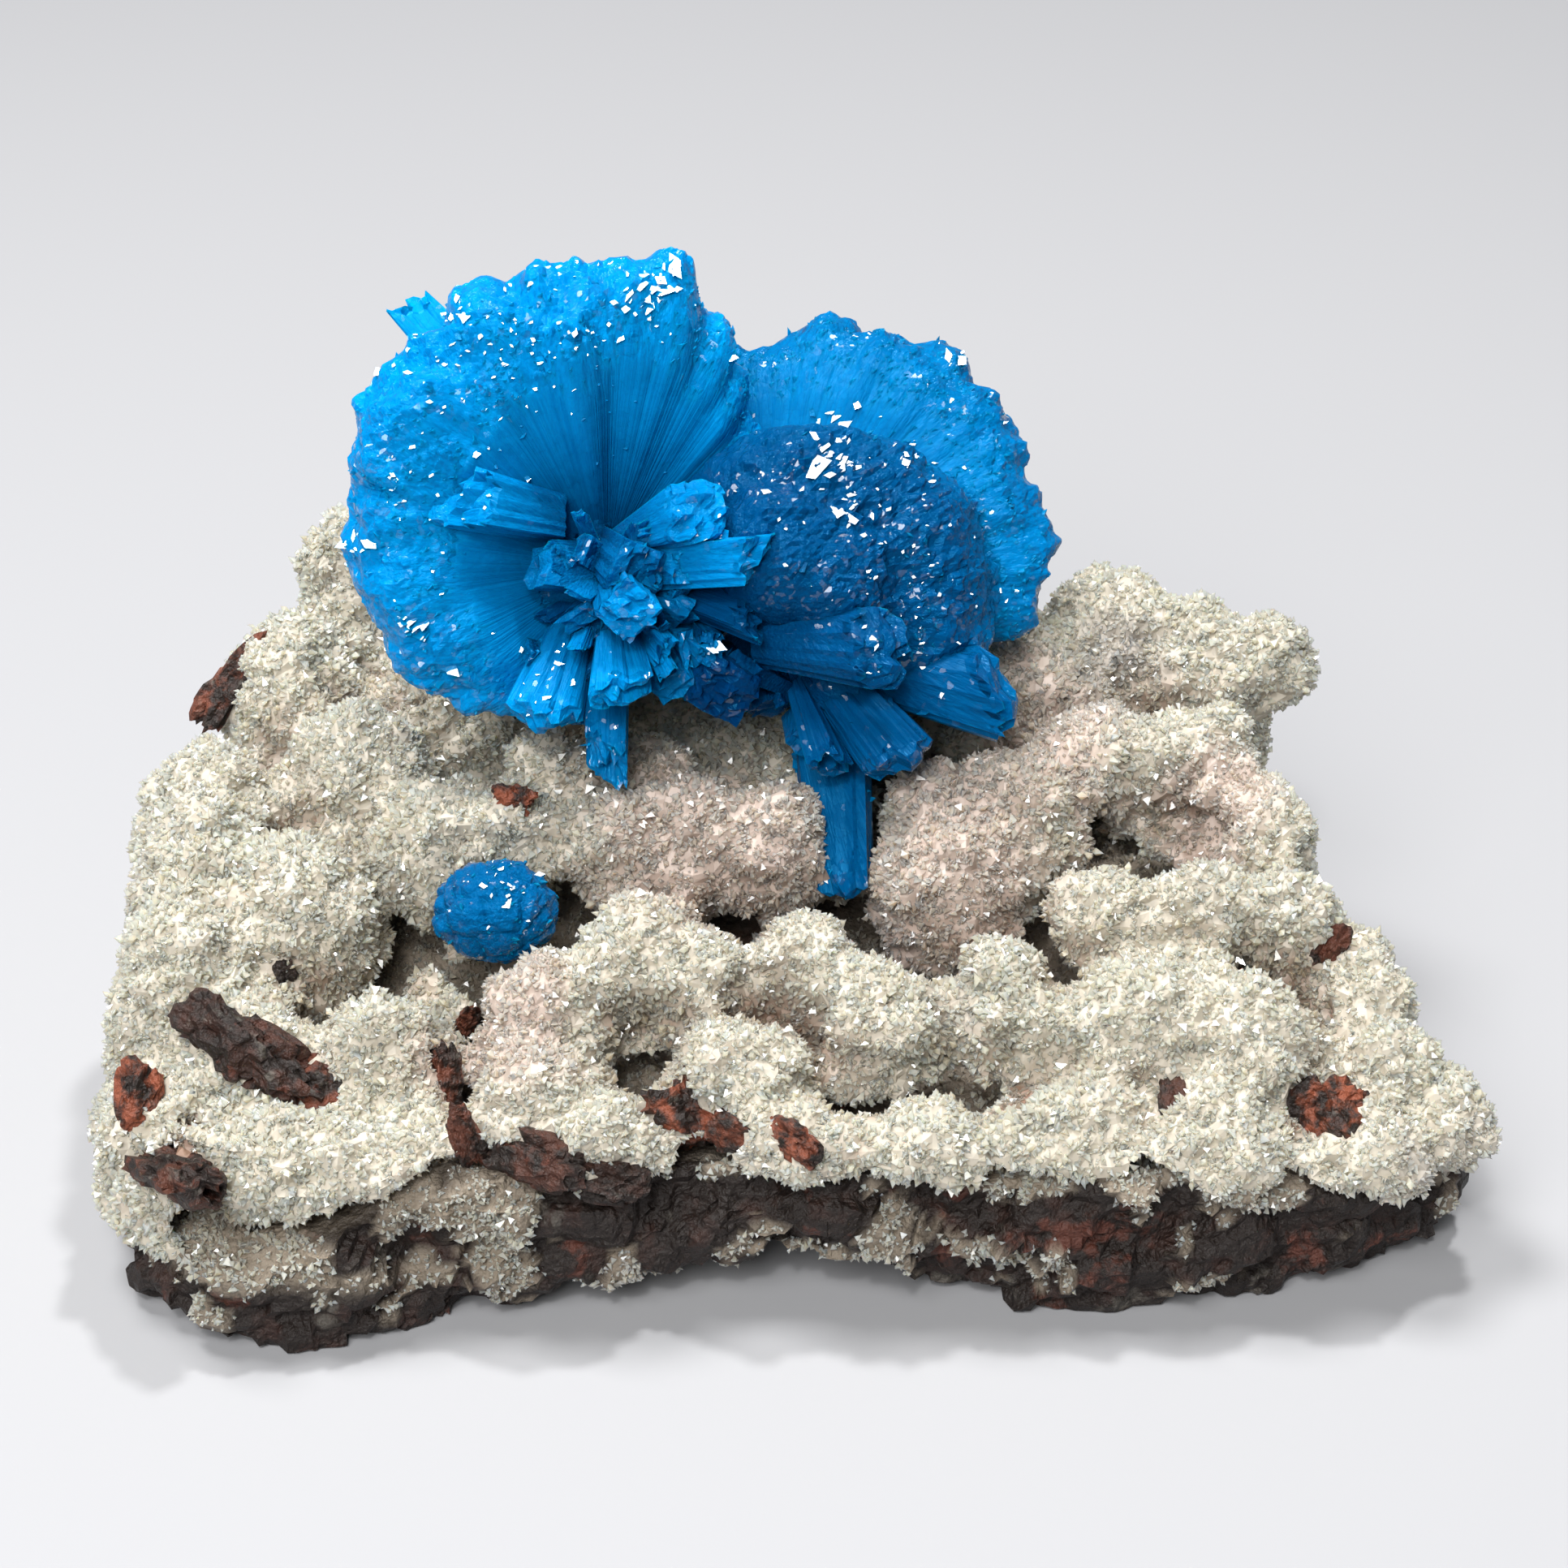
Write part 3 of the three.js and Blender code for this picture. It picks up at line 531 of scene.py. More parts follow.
def openness(points, out, skin, reach):
    """The share of directions in which each point of a skin looks past it for some millimetres."""
    side, other = crossed(out, np.random.default_rng(41))
    ways = [out]
    for turn in range(7):
        angle = 2 * math.pi * turn / 7
        across = math.cos(angle) * side + math.sin(angle) * other
        ways.append(unit(out + 1.3 * across))
    found = np.zeros(len(points))
    starts = points + 0.15 * out
    for way in ways:
        for i in range(len(points)):
            found[i] += skin.ray_cast(Vector(starts[i]), Vector(way[i]), reach)[0] is None
    return found / len(ways)


cad_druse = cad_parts["stilbite_druse"]
crust, crust_faces, crust_out = mesh_points(cad_druse.data)
rock_skin = BVHTree.FromPolygons(rock.tolist(), rock_faces.tolist())
above_rock = np.array([rock_skin.find_nearest(Vector(place))[3] for place in crust])
sunk = np.clip(above_rock - LEFT_ON_ROCK_MM, 0, BASE_DEPTH_MM)
shapes = [(crust - sunk[:, None] * crust_out, crust_faces)]
for x, y, rise, rx, ry, rz in LUMPS_MM:
    top = float(ramp(y)) + rise + 0.5 - CRUST_DEPTH_MM * 0.6
    centre = ROCK_MIDDLE_MM + (x, y, top - rz)
    radii = (LUMP_WIDTH_SHARE * rx, LUMP_LENGTH_SHARE * ry, rz)
    lump, lump_faces = rounded_lump(centre, radii)
    plan = lump - ROCK_MIDDLE_MM
    lump[:, 2] = np.maximum(lump[:, 2], crust_edge(plan[:, 0], plan[:, 1]) + 1)
    shapes.append((lump, lump_faces))
bed, bed_faces, _ = even_grain(*together(shapes), LUMP_GRAIN_MM)
bed = carve(bed, PITS_MM, rock_skin)
bed, bed_faces, bed_out = even_grain(bed, bed_faces, BED_GRAIN_MM)
swell = 0.9 * knobs(bed, 3.4, 5) + 0.7 * knobs(bed, 1.6, 15) + 0.35 * layered_noise(bed, 5, 35, 3)
above_rock = np.array([rock_skin.find_nearest(Vector(place))[3] for place in bed])
swell = np.maximum(swell - CRUST_DEPTH_MM, THINNEST_MM - above_rock)
bed = bed + bed_out * swell[:, None]


def bed_finish():
    """The crust between its crystals: grey, tan and pink stilbite, darker than the crystals as painted
    shade in the gaps. It is brown deep in the creases, partly stain and partly painted shade.
    """
    finish, tree, shader = new_finish("stilbite bed")
    grey = blotches(tree, (-1100, 300), 9, 0.5, 0.25, 3.0)
    tan = blotches(tree, (-1100, 100), 5, 0.42, 0.2, 6.4)
    colour = tint(tree, (-800, 300), BED_GREY, BED_UMBER, grey)
    colour = tint(tree, (-600, 300), colour, BED_TAN, tan)
    colour = tint(tree, (-500, 300), colour, BED_PINK, attribute(tree, (-1100, 500), "pink"))
    colour = tint(tree, (-400, 300), colour, CREASE_STAIN_AND_SHADE, attribute(tree, (-1100, -100), "crease"))
    tree.links.new(colour, shader.inputs["Base Color"])
    shader.inputs["Roughness"].default_value = 0.5
    return finish


bed_skin = BVHTree.FromPolygons(bed.tolist(), bed_faces.tolist())
open_share = openness(bed, bed_out, bed_skin, OPEN_REACH_MM)
# The less open a point of the bed is, the browner it is: partly stain, partly painted shade in the creases
hollow_stain_and_shade = 1 - smooth_step(open_share, 0.1, 0.85)
bed_piece = mesh_piece("druse_bed", bed, bed_faces, crease=hollow_stain_and_shade, pink=0.5 * pinkness(bed))
bed_piece.data.materials.append(bed_finish())
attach(bed_piece, "root")
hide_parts("stilbite_druse")

# Chips of basalt in the crust
# Bits of the host rock are caught in the crust, where it broke or lifted off. They are angular,
# dark or rusty, and stand out a little from the crystals round them.
CHIP_RUST = (0.24, 0.062, 0.028, 1)
CHIP_SUNK_SHARE = 0.35
CHIP_THICK_SHARE = 0.4
TURN_TO_VIEWER = 0.6

# The photo's viewpoint and its directions. The chips, the blades, the shade on the blades' ends
# and their bright faces are placed by them, and the camera stands there.
CAMERA_DISTANCE_MM = 180
SHOW_TILT = math.radians(32)
TARGET_MM = ROCK_MIDDLE_MM + (0, 1, 18)
RIGHTWARD = np.array([1.0, 0, 0])
UPWARD = np.array([0, math.sin(SHOW_TILT), math.cos(SHOW_TILT)])
TOWARDS = np.array([0, -math.cos(SHOW_TILT), math.sin(SHOW_TILT)])

# Chips as the viewer sees them: right and up from the middle, width, height, turn in degrees,
# and how rusty each one is
CHIPS_MM = [
    (-32.8, -15.8, 1.9, 2.8, 0, 1),
    (-28.8, -12.8, 4.6, 3.0, -30, 0.1),
    (-26.0, -14.4, 4.4, 2.6, -38, 0.2),
    (-23.7, -15.7, 2.6, 3.2, -10, 0.6),
    (-13.8, -0.7, 2.0, 1.3, -15, 1),
    (-16.3, -12.2, 1.2, 3.2, -30, 0.5),
    (-17.1, -15.2, 1.4, 3.6, 5, 0.5),
    (-16.1, -18.1, 1.4, 3.2, 25, 0.4),
    (-12.6, -19.2, 4.4, 2.2, -15, 0.2),
    (-8.7, -20.2, 3.4, 1.8, -5, 0.1),
    (-4.8, -16.8, 3.6, 3.0, -40, 0.9),
    (-2.5, -17.9, 3.0, 2.0, -20, 0.6),
    (0.4, -18.3, 3.0, 1.6, -25, 0.9),
    (19.9, -16.2, 1.3, 2.6, 10, 0.2),
    (27.5, -16.9, 3.4, 3.6, 15, 1),
    (29.0, -15.9, 1.2, 1.2, 40, 1),
    (27.8, -8.3, 1.6, 2.2, -30, 0.4),
    (-30.8, -19.5, 6.0, 2.6, 15, 0.3),
    (-25.4, -9.6, 0.9, 1.1, 30, 0),
    (-27.9, 5.2, 2.0, 5.4, -40, 0.6),
]


def seen_at(right, up, skin):
    """The place on a skin that the viewer sees there, and the skin's outward direction."""
    eye = TARGET_MM + CAMERA_DISTANCE_MM * TOWARDS
    through = TARGET_MM + right * RIGHTWARD + up * UPWARD
    place, normal, _, _ = skin.ray_cast(Vector(eye), Vector(unit(through - eye)))
    return np.array(place), np.array(normal)


def chip(place, out, width, height, turn, seed):
    """One angular chip with its broad side outward, partly sunk in the surface."""
    across = unit(np.cross(UPWARD, out))
    beside = np.cross(out, across)
    c, s = math.cos(math.radians(turn)), math.sin(math.radians(turn))
    across, beside = c * across + s * beside, c * beside - s * across
    ball, faces = rounded_lump(np.zeros(3), 1, 4)
    ball = np.sign(ball) * np.abs(ball) ** 0.75
    broken = cells(ball, 0.9, seed)[0] * 0.32 + cells(ball, 0.34, seed + 1)[0] * 0.16
    ball = ball * (1 + broken)[:, None] - (0, 0, CHIP_SUNK_SHARE)
    size = np.array([width / 2, height / 2, CHIP_THICK_SHARE * min(width, height)])
    ball = ball * size
    points = place + ball[:, :1] * across + ball[:, 1:2] * beside + ball[:, 2:] * out
    return points, faces


def multiplied(tree, place, first, second):
    """One mask times another."""
    made = node(tree, "ShaderNodeMath", place, operation="MULTIPLY")
    tree.links.new(first, made.inputs[0])
    tree.links.new(second, made.inputs[1])
    return made.outputs[0]


surface, surface_faces = together([(bed, bed_faces), (rock, rock_faces)])
whole_skin = BVHTree.FromPolygons(surface.tolist(), surface_faces.tolist())
chips, rusts = [], []
for number, (right, up, width, height, turn, rust) in enumerate(CHIPS_MM):
    place, out = seen_at(right, up, whole_skin)
    out = unit(out + TURN_TO_VIEWER * TOWARDS)
    shape = chip(place, out, width, height, turn, 400 + 3 * number)
    chips.append(shape)
    rusts.append(np.full(len(shape[0]), rust))
chip_points, chip_faces = together(chips)
chip_finish = basalt_finish("basalt chips", 0.4, 0.42, 0.3, 12.0)
chip_tree = chip_finish.node_tree
chip_shader = chip_tree.nodes["Principled BSDF"]
rustiness = attribute(chip_tree, (-400, 500), "rust")
stains = blotches(chip_tree, (-500, 700), 1.3, 0.56, 0.16, 31.0)
stained = multiplied(chip_tree, (-300, 600), rustiness, stains)
plain_colour = chip_shader.inputs["Base Color"].links[0].from_socket
rusty = tint(chip_tree, (-200, 400), plain_colour, CHIP_RUST, stained)
chip_tree.links.new(rusty, chip_shader.inputs["Base Color"])
chip_piece = mesh_piece("basalt_chips", chip_points, chip_faces, rust=0.8 * np.concatenate(rusts))
chip_piece.data.materials.append(chip_finish)
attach(chip_piece, "root")

# Stilbite crystals
# About 150,000 small glassy crystals stand side by side on the bed, and on the rock where it is
# crusted. They lean every way and only their tips are free, so the crust glitters like sugar.
SMALL_CRYSTAL_MM = 0.32
SMALL_CRYSTALS = 108000
SMALL_SETS = 3
LARGE_CRYSTAL_MM = 0.40
LARGE_CRYSTALS = 6000
ROCK_CRYSTAL_MM = 0.85 * SMALL_CRYSTAL_MM
ROCK_CRYSTALS = 36000
CRYSTAL_LEAN = 0.4
CRYSTALS_FROM_MM = 0.9
BED_REACH_MM = 0.6
ROCK_REACH_MM = 0.9
DULLNESS = 1.5


def open_to_air(points, faces, places, ways, reach):
    """Whether each place is outside a skin and looks past it for some millimetres."""
    skin = BVHTree.FromPolygons(points.tolist(), faces.tolist())
    found = np.ones(len(places), bool)
    for i, (place, way) in enumerate(zip(places, ways)):
        start, towards = Vector(place), Vector(way)
        near, normal, _, distance = skin.find_nearest(start)
        if distance < reach and skin.ray_cast(start, towards, reach)[0] is not None:
            found[i] = False
        elif (start - near).dot(normal) < 0:
            found[i] = skin.ray_cast(start, towards)[0] is None
    return found


def repeated(one, corners, count):
    """The triangles of many like crystals, from those of one and how many corners it has."""
    return (one[None] + corners * np.arange(count)[:, None, None]).reshape(-1, 3)


def small_crystals(feet, out, width, random):
    """Small blades with a chisel edge, four corners to a crystal."""
    lean = unit(out + CRYSTAL_LEAN * random.normal(size=out.shape))
    across, beside = crossed(lean, random)
    width = width[:, None]
    height = width * random.uniform(0.5, 1.0, size=width.shape)
    edge = width * random.uniform(0.25, 0.5, size=width.shape)
    slant = height * random.uniform(-0.3, 0.3, size=width.shape)
    corners = [
        feet - 0.1 * out + 0.6 * width * across,
        feet - 0.1 * out - 0.6 * width * across,
        feet + lean * (height + slant) + edge * beside,
        feet + lean * (height - slant) - edge * beside,
    ]
    points = np.stack(corners, axis=1).reshape(-1, 3)
    one = np.array([(0, 1, 2), (0, 2, 3), (0, 3, 1), (3, 2, 1)])
    return points, repeated(one, len(corners), len(feet))


def large_crystals(feet, out, width, random):
    """Flat four-sided blades with a blunt point, six corners to a crystal."""
    lean = unit(out + CRYSTAL_LEAN * random.normal(size=out.shape))
    across, beside = crossed(lean, random)
    width = width[:, None]
    height = width * random.uniform(0.6, 1.3, size=width.shape)
    thick = width * random.uniform(0.4, 0.8, size=width.shape)
    shoulder = feet + lean * height * random.uniform(0.4, 0.75, size=width.shape)
    corners = [
        feet - lean * 0.3 * width,
        shoulder + across * width / 2,
        shoulder + beside * thick / 2,
        shoulder - across * width / 2,
        shoulder - beside * thick / 2,
        feet + lean * height + across * 0.15 * width,
    ]
    points = np.stack(corners, axis=1).reshape(-1, 3)
    below = [(0, 2, 1), (0, 3, 2), (0, 4, 3), (0, 1, 4)]
    above = [(5, 1, 2), (5, 2, 3), (5, 3, 4), (5, 4, 1)]
    return points, repeated(np.array(below + above), len(corners), len(feet))


def crystal_finish():
    """Glassy, partly clear stilbite. Each crystal has a tone of its own."""
    finish, tree, shader = new_finish("stilbite crystals")
    grey = blotches(tree, (-1100, 300), 9, 0.5, 0.25, 3.0)
    tan = blotches(tree, (-1100, 100), 5, 0.36, 0.25, 6.4)
    colour = tint(tree, (-900, 300), CREAM, STILBITE_GREY, grey)
    colour = tint(tree, (-700, 300), colour, STILBITE_TAN, tan)
    colour = tint(tree, (-600, 300), colour, STILBITE_PINK, attribute(tree, (-1100, 500), "pink"))
    # Brown in the creases and where the rock meets the crust: partly stain, partly painted shade
    colour = tint(tree, (-500, 300), colour, CREASE_STAIN_AND_SHADE, attribute(tree, (-1100, -300), "crease"))
    bright = node(tree, "ShaderNodeHueSaturation", (-300, 300))
    tree.links.new(colour, bright.inputs["Color"])
    tree.links.new(attribute(tree, (-1100, -100), "tone"), bright.inputs["Value"])
    tree.links.new(bright.outputs[0], shader.inputs["Base Color"])
    polish = node(tree, "ShaderNodeMapRange", (-900, -500))
    polish.inputs["To Min"].default_value = 0.22
    polish.inputs["To Max"].default_value = 0.06
    tree.links.new(attribute(tree, (-1100, -500), "gloss"), polish.inputs["Value"])
    tree.links.new(polish.outputs[0], shader.inputs["Roughness"])
    shader.inputs["IOR"].default_value = 1.5
    shader.inputs["Specular IOR Level"].default_value = 1
    shader.inputs["Transmission Weight"].default_value = 0.5
    shader.inputs["Subsurface Weight"].default_value = 1
    shader.inputs["Subsurface Radius"].default_value = (1, 0.85, 0.7)
    shader.inputs["Subsurface Scale"].default_value = 0.0005
    return finish


def ground(points, faces, weight, blockers, reach):
    """Where crystals can grow on a skin: its triangles, their directions and shares."""
    corners = points[faces]
    middles = corners.mean(axis=1)
    facing = np.cross(corners[:, 1] - corners[:, 0], corners[:, 2] - corners[:, 0])
    share = np.linalg.norm(facing, axis=1) * weight[faces].mean(axis=1)
    facing = unit(facing)
    free = (share > 0.01 * share.max()) & (middles[:, 2] > CRYSTALS_FROM_MM)
    for blocker, blocker_faces in blockers:
        free[free] = open_to_air(blocker, blocker_faces, middles[free], facing[free], reach)
    return corners, facing, np.where(free, share, 0)


def places_on(corners, share, count, random):
    """Random places on triangles, more of them where the share is larger, and each one's triangle."""
    chosen = random.choice(len(corners), count, p=share / share.sum())
    a, b = random.random((2, count, 1))
    a, b = np.where(a + b > 1, 1 - a, a), np.where(a + b > 1, 1 - b, b)
    origin = corners[chosen]
    found = origin[:, 0] + a * (origin[:, 1] - origin[:, 0]) + b * (origin[:, 2] - origin[:, 0])
    return found, chosen


def grow(where, brown, count, width, make, spread, random):
    """Crystals at random places of the ground, with tone, gloss, brown and pink values for each. The brown
    is partly stain, partly painted shade.
    """
    corners, facing, share = where
    feet, chosen = places_on(corners, share, count, random)
    size = width * np.minimum(random.lognormal(0, spread, count), 1.5)
    size = size * (1 + 0.2 * layered_noise(feet, 4, 51, 2))
    points, faces = make(feet, facing[chosen], size, random)
    each = len(points) // count
    tone = np.repeat(random.uniform(1.05, 1.55, count), each)
    gloss = np.repeat(random.random(count) ** DULLNESS, each)
    pink = np.repeat(0.5 * pinkness(feet), each)
    return points, faces, tone, gloss, np.repeat(brown[chosen], each), pink


stilbite_glass = crystal_finish()
cluster_skin = mesh_points(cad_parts["cavansite_rosettes"].data)[:2]
ball_skin = mesh_points(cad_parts["cavansite_ball"].data)[:2]
random = np.random.default_rng(71)
chip_skin = (chip_points, chip_faces)
bed_blockers = ((rock, rock_faces), chip_skin, cluster_skin, ball_skin)
bed_ground = ground(bed, bed_faces, np.ones(len(bed)), bed_blockers, BED_REACH_MM)
# Crystals take the brown of the creases under them, and on the rock they are browner where the crust covers
# it: partly stain, partly painted shade
bed_stain_and_shade = 0.8 * hollow_stain_and_shade[bed_faces].mean(axis=1)
rock_blockers = ((bed, bed_faces), chip_skin)
rock_ground = ground(rock, rock_faces, crusted**3, rock_blockers, ROCK_REACH_MM)
rock_stain_and_shade = 0.05 + 0.4 * covered[rock_faces].mean(axis=1)
groups = []
for _ in range(SMALL_SETS):
    count = SMALL_CRYSTALS // SMALL_SETS
    groups.append(grow(bed_ground, bed_stain_and_shade, count, SMALL_CRYSTAL_MM, small_crystals, 0.22, random))
for where, brown, count, width, make in (
    (bed_ground, bed_stain_and_shade, LARGE_CRYSTALS, LARGE_CRYSTAL_MM, large_crystals),
    (rock_ground, rock_stain_and_shade, ROCK_CRYSTALS, ROCK_CRYSTAL_MM, small_crystals),
):
    groups.append(grow(where, brown, count, width, make, 0.25, random))
for number, (points, faces, tone, gloss, crease, pink) in enumerate(groups, start=1):
    piece = mesh_piece(
        f"druse_crystals_{number}", points, faces, tone=tone, gloss=gloss, crease=crease, pink=pink
    )
    piece.data.materials.append(stilbite_glass)
    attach(piece, "root")
    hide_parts("stilbite_druse")

# Cavansite rosettes
# Each rosette is a spray of sheaves. A sheaf is a bundle of thin blue blades that all start at
# the rosette's heart, so its sides are silky and its end is a mosaic of bright blade tips.
SILK_GRAIN_MM = 0.3
SILK_ROUNDS = 6
BLOCK_CUTS = 9
SHARD_CUTS = 3
SHORT_OUTER_BLADES = 0.3
RIM_BLADES = 1200
RIM_BLADE_MM = 0.24
SILK_ROUGHNESS = 0.42
END_ROUGHNESS = 0.13
FULL_REACH_MM = 13
AZURE = (0.0004, 0.29, 0.70, 1)
DEEP_BLUE = (0.0003, 0.175, 0.46, 1)
# Dark blue for painted shade
SHADE_BLUE = (0.0002, 0.024, 0.09, 1)
# Cyan for a painted glow of light through the thin rims
RIM_GLOW_CYAN = (0.001, 0.38, 0.70, 1)
BLUE_GLINT = (0.06, 0.55, 1, 1)

# The main light, which the bright faces are turned to
KEY_LIGHT_M = np.array([-0.14, 0.04, 0.42])

# Sheaves: clock angle as the viewer sees it, lean towards the viewer, length and half spread, and
# for some of them how strong their lobes are
LEFT_HEART_MM = ROCK_MIDDLE_MM + (-9, 6, 27.9)
LEFT_FAN = [
    (38, -20, 10, 18),
    (56, 2, 12.4, 12),
    (76, 16, 16, 12),
    (96, 20, 15.8, 16),
    (120, 22, 15.4, 17),
    (146, 26, 15, 18),
    (174, 24, 13.6, 19),
    (203, 24, 12.4, 18),
    (232, 16, 9.8, 16),
]
LEFT_SHEAVES = [
    # under the spike at the upper left
    (126, -4, 15, 6),
    # what fills the heart
    (0, 85, 3.2, 44, 1.5),
    (200, 48, 4.4, 34, 1.5),
    (290, 40, 5.2, 30, 1.5),
    (-20, 40, 4.8, 30, 1.5),
    # the ridge that runs up from the heart
    (98, 34, 14.2, 8, 0.5),
    # the back
    (55, -42, 12.5, 26),
    (105, -36, 13.5, 26),
    (155, -34, 12, 26),
    (210, -36, 11, 26),
    (90, -78, 11.5, 32),
]

# Blocks of blades: start and end from the heart as the viewer sees them (right, up, nearer),
# width, thickness, turn in degrees, how narrow the start is, and how much painted shade the block has
LEFT_BLOCKS = [
    # the spike at the upper left
    ((-6.5, 9.6, -1.6), (-9.9, 13.2, -1.4), 2.1, 0.8, 0, 1.3, 0),
    # the block at the left and the two on the right
    ((-2.6, 2.2, 3.2), (-6.8, 2.9, 7.4), 2.9, 2.6, 12, 0.8, 0),
    ((0.6, 0.8, 2.2), (5.2, 2.4, 6.8), 3.2, 2.2, -20, 0.4, 0.35),
    ((3.0, -0.2, 3.4), (7.7, -0.1, 6.8), 2.3, 2.6, 10, 0.95, 0.25),
    # the dark body in the heart, the glassy cube and a small one on its left
    ((0.6, 0.4, 2.0), (1.9, -0.8, 6.0), 2.9, 2.8, 20, 0.8, 0.6),
    ((0.9, -1.4, 3.4), (1.5, -2.7, 7.6), 2.5, 2.3, 25, 0.9, 0.2),
    ((-1.0, 0.3, 2.0), (-2.2, 0.0, 5.0), 1.5, 1.3, 30, 0.8, 0),
    # the feet
    ((-1.4, -2.2, 1.4), (-3.1, -8.2, 4.8), 3.8, 3.0, 0, 0.55, 0),
    ((0.5, -2.2, 2.6), (1.1, -6.8, 6.6), 3.2, 1.9, -15, 0.45, 0.1),
    ((0.1, -4.0, 1.4), (0.2, -9.8, 3.6), 2.0, 1.7, 0, 1.1, 0.6),
    ((-0.5, -2.6, 2.8), (-1.1, -4.4, 5.6), 0.9, 0.6, 40, 0.6, 0),
    ((1.4, -2.8, 3.0), (3.2, -4.6, 5.6), 1.5, 0.9, 35, 0.8, 0.3),
    ((2.3, -3.8, 3.4), (3.3, -5.6, 5.8), 1.0, 0.6, 20, 0.8, 0),
    # in the cleft between the rosettes
    ((1.0, -0.6, -1.5), (4.8, -5.0, 2.2), 5.0, 3.0, 0, 0.7, 1),
    ((3.2, -1.4, 2.2), (7.4, -2.8, 5.0), 2.2, 1.4, -25, 0.6, 0.9),
    ((4.4, -3.2, 1.4), (5.4, -4.4, 4.8), 1.5, 1.1, 40, 0.9, 0.8),
    ((4.8, -4.4, 0.6), (6.2, -6.6, 4.6), 2.9, 2.8, 30, 0.8, 1),
]

# Tangles of loose blades: how many, their middle as the viewer sees it, and how far they reach
LEFT_TANGLES = [
    (26, (0.6, -0.6, 1.6), 4.6),
    (22, (2.8, -3.2, 1.2), 4.2),
    (14, (-1.2, -4.4, 1.0), 3.6),
]
RIGHT_HEART_MM = ROCK_MIDDLE_MM + (-0.7, 7, 25.4)
RIGHT_FAN = [
    (96, -14, 13.6, 11),
    (78, -12, 15, 13),
    (58, -8, 16, 13),
    (38, -4, 15.8, 13),
    (18, 2, 14.6, 13),
    (-2, 4, 13.8, 12),
]
DOME_FAN = [
    (128, 30, 7.6, 22, 0.3),
    (95, 34, 9.2, 26, 0.3),
    (60, 32, 10.4, 28, 0.3),
    (22, 26, 11.8, 28, 0.5),
    (-14, 24, 12, 22, 0.6),
]
RIGHT_SHEAVES = [
    # the middle of the dome
    (75, 70, 9.4, 34, 0.2),
    (20, 58, 9.8, 32, 0.2),
    # under the dome
    (-50, 24, 9, 22, 0.8),
    (-92, 22, 6.4, 24, 0.8),
    (240, 20, 5.6, 22),
    # the back
    (30, -40, 13, 27),
    (80, -40, 12.5, 26),
    (-22, -36, 11, 24),
    (100, -78, 11.5, 30),
]
RIGHT_BLOCKS = [
    ((-0.4, -2.4, 4.8), (6.2, -2.9, 9.0), 4.0, 2.6, 0, 0.6, 0.6),
    ((4.6, -3.4, 3.0), (11.8, -5.2, 6.0), 4.3, 3.6, 10, 0.7, 0.2),
    ((3.2, -4.2, 2.8), (6.8, -8.6, 6.4), 3.6, 2.8, -10, 0.8, 0.6),
    ((1.4, -4.2, 2.4), (3.0, -8.4, 5.6), 1.7, 2.2, 20, 0.5, 0.2),
    ((3.0, -4.0, 0.8), (3.6, -14.4, 3.2), 3.2, 2.4, 10, 1.3, 0.8),
]
RIGHT_TANGLES = [
    (16, (1.6, -4.6, 1.2), 4.0),
    (8, (3.2, -8.0, 0.6), 2.6),
]

# Bright faces: right and up from the middle as the viewer sees them, how far they spread,
# how many there are and their size
LEFT_BRIGHT = [
    (-6.2, 25.6, 1.3, 14, 0.8),
    (-7.4, 24.6, 1.2, 8, 0.5),
    (-22.0, 12.2, 0.9, 7, 0.6),
    (-18.8, 7.9, 1.2, 11, 0.6),
    (-16.9, 5.5, 0.9, 8, 0.6),
    (-16.6, 23.6, 1.2, 8, 0.5),
    (-14.6, 20.6, 7, 70, 0.24),
    (-10.0, 22.8, 5, 45, 0.24),
    (-19.0, 14.0, 5, 30, 0.24),
    (-5.4, 11.6, 0.5, 3, 0.5),
    (-3.7, 6.9, 0.3, 3, 0.9),
    (-12.2, 5.0, 3.4, 22, 0.28),
]
RIGHT_BRIGHT = [
    (2.6, 17.4, 1.5, 18, 0.55),
    (6.2, 16.4, 0.7, 6, 0.5),
    (3.3, 13.9, 0.8, 7, 0.5),
    (9.2, 21.6, 0.8, 5, 0.5),
    (3.4, 14.6, 5.5, 45, 0.22),
    (7.6, 11.0, 6, 35, 0.2),
    (6.4, 5.6, 4, 14, 0.22),
    (4.4, -0.6, 0.6, 3, 0.4),
]
# The triangles of one blade tip: four sides from its root, and its flat end
WEDGE = np.array([(0, 2, 1), (0, 3, 2), (0, 4, 3), (0, 1, 4), (1, 2, 3), (1, 3, 4)])


def aim(clock, lean):
    """A direction by its clock angle, 0 right and 90 up, and its lean towards the viewer."""
    turn, tilt = math.radians(clock), math.radians(lean)
    across = RIGHTWARD * math.cos(turn) + UPWARD * math.sin(turn)
    return across * math.cos(tilt) + TOWARDS * math.sin(tilt)


def frame_round(axis):
    """Two directions across an axis."""
    side = unit(np.cross(axis, [0.3, 0.9, 0.2]))
    return side, np.cross(axis, side)


def fan(rows, step):
    """Rows of a fan with more rows put in between, so that its sheaves melt together."""
    filled = [rows[0]]
    for before, after in zip(rows, rows[1:]):
        parts = max(1, round(abs(after[0] - before[0]) / step))
        for part in range(1, parts + 1):
            filled.append(tuple(a + (b - a) * part / parts for a, b in zip(before, after)))
    return filled


def spray_reach(rays, seed, lobes=1):
    """How far blades reach in each direction, as a share: lobes, and finer lobes on them."""
    broad = np.abs(rough_noise(rays * 5, 1, seed)) - 0.3
    fine = np.abs(rough_noise(rays * 15, 1, seed + 1)) - 0.3
    return 1 + lobes * (0.1 * broad + 0.04 * fine)


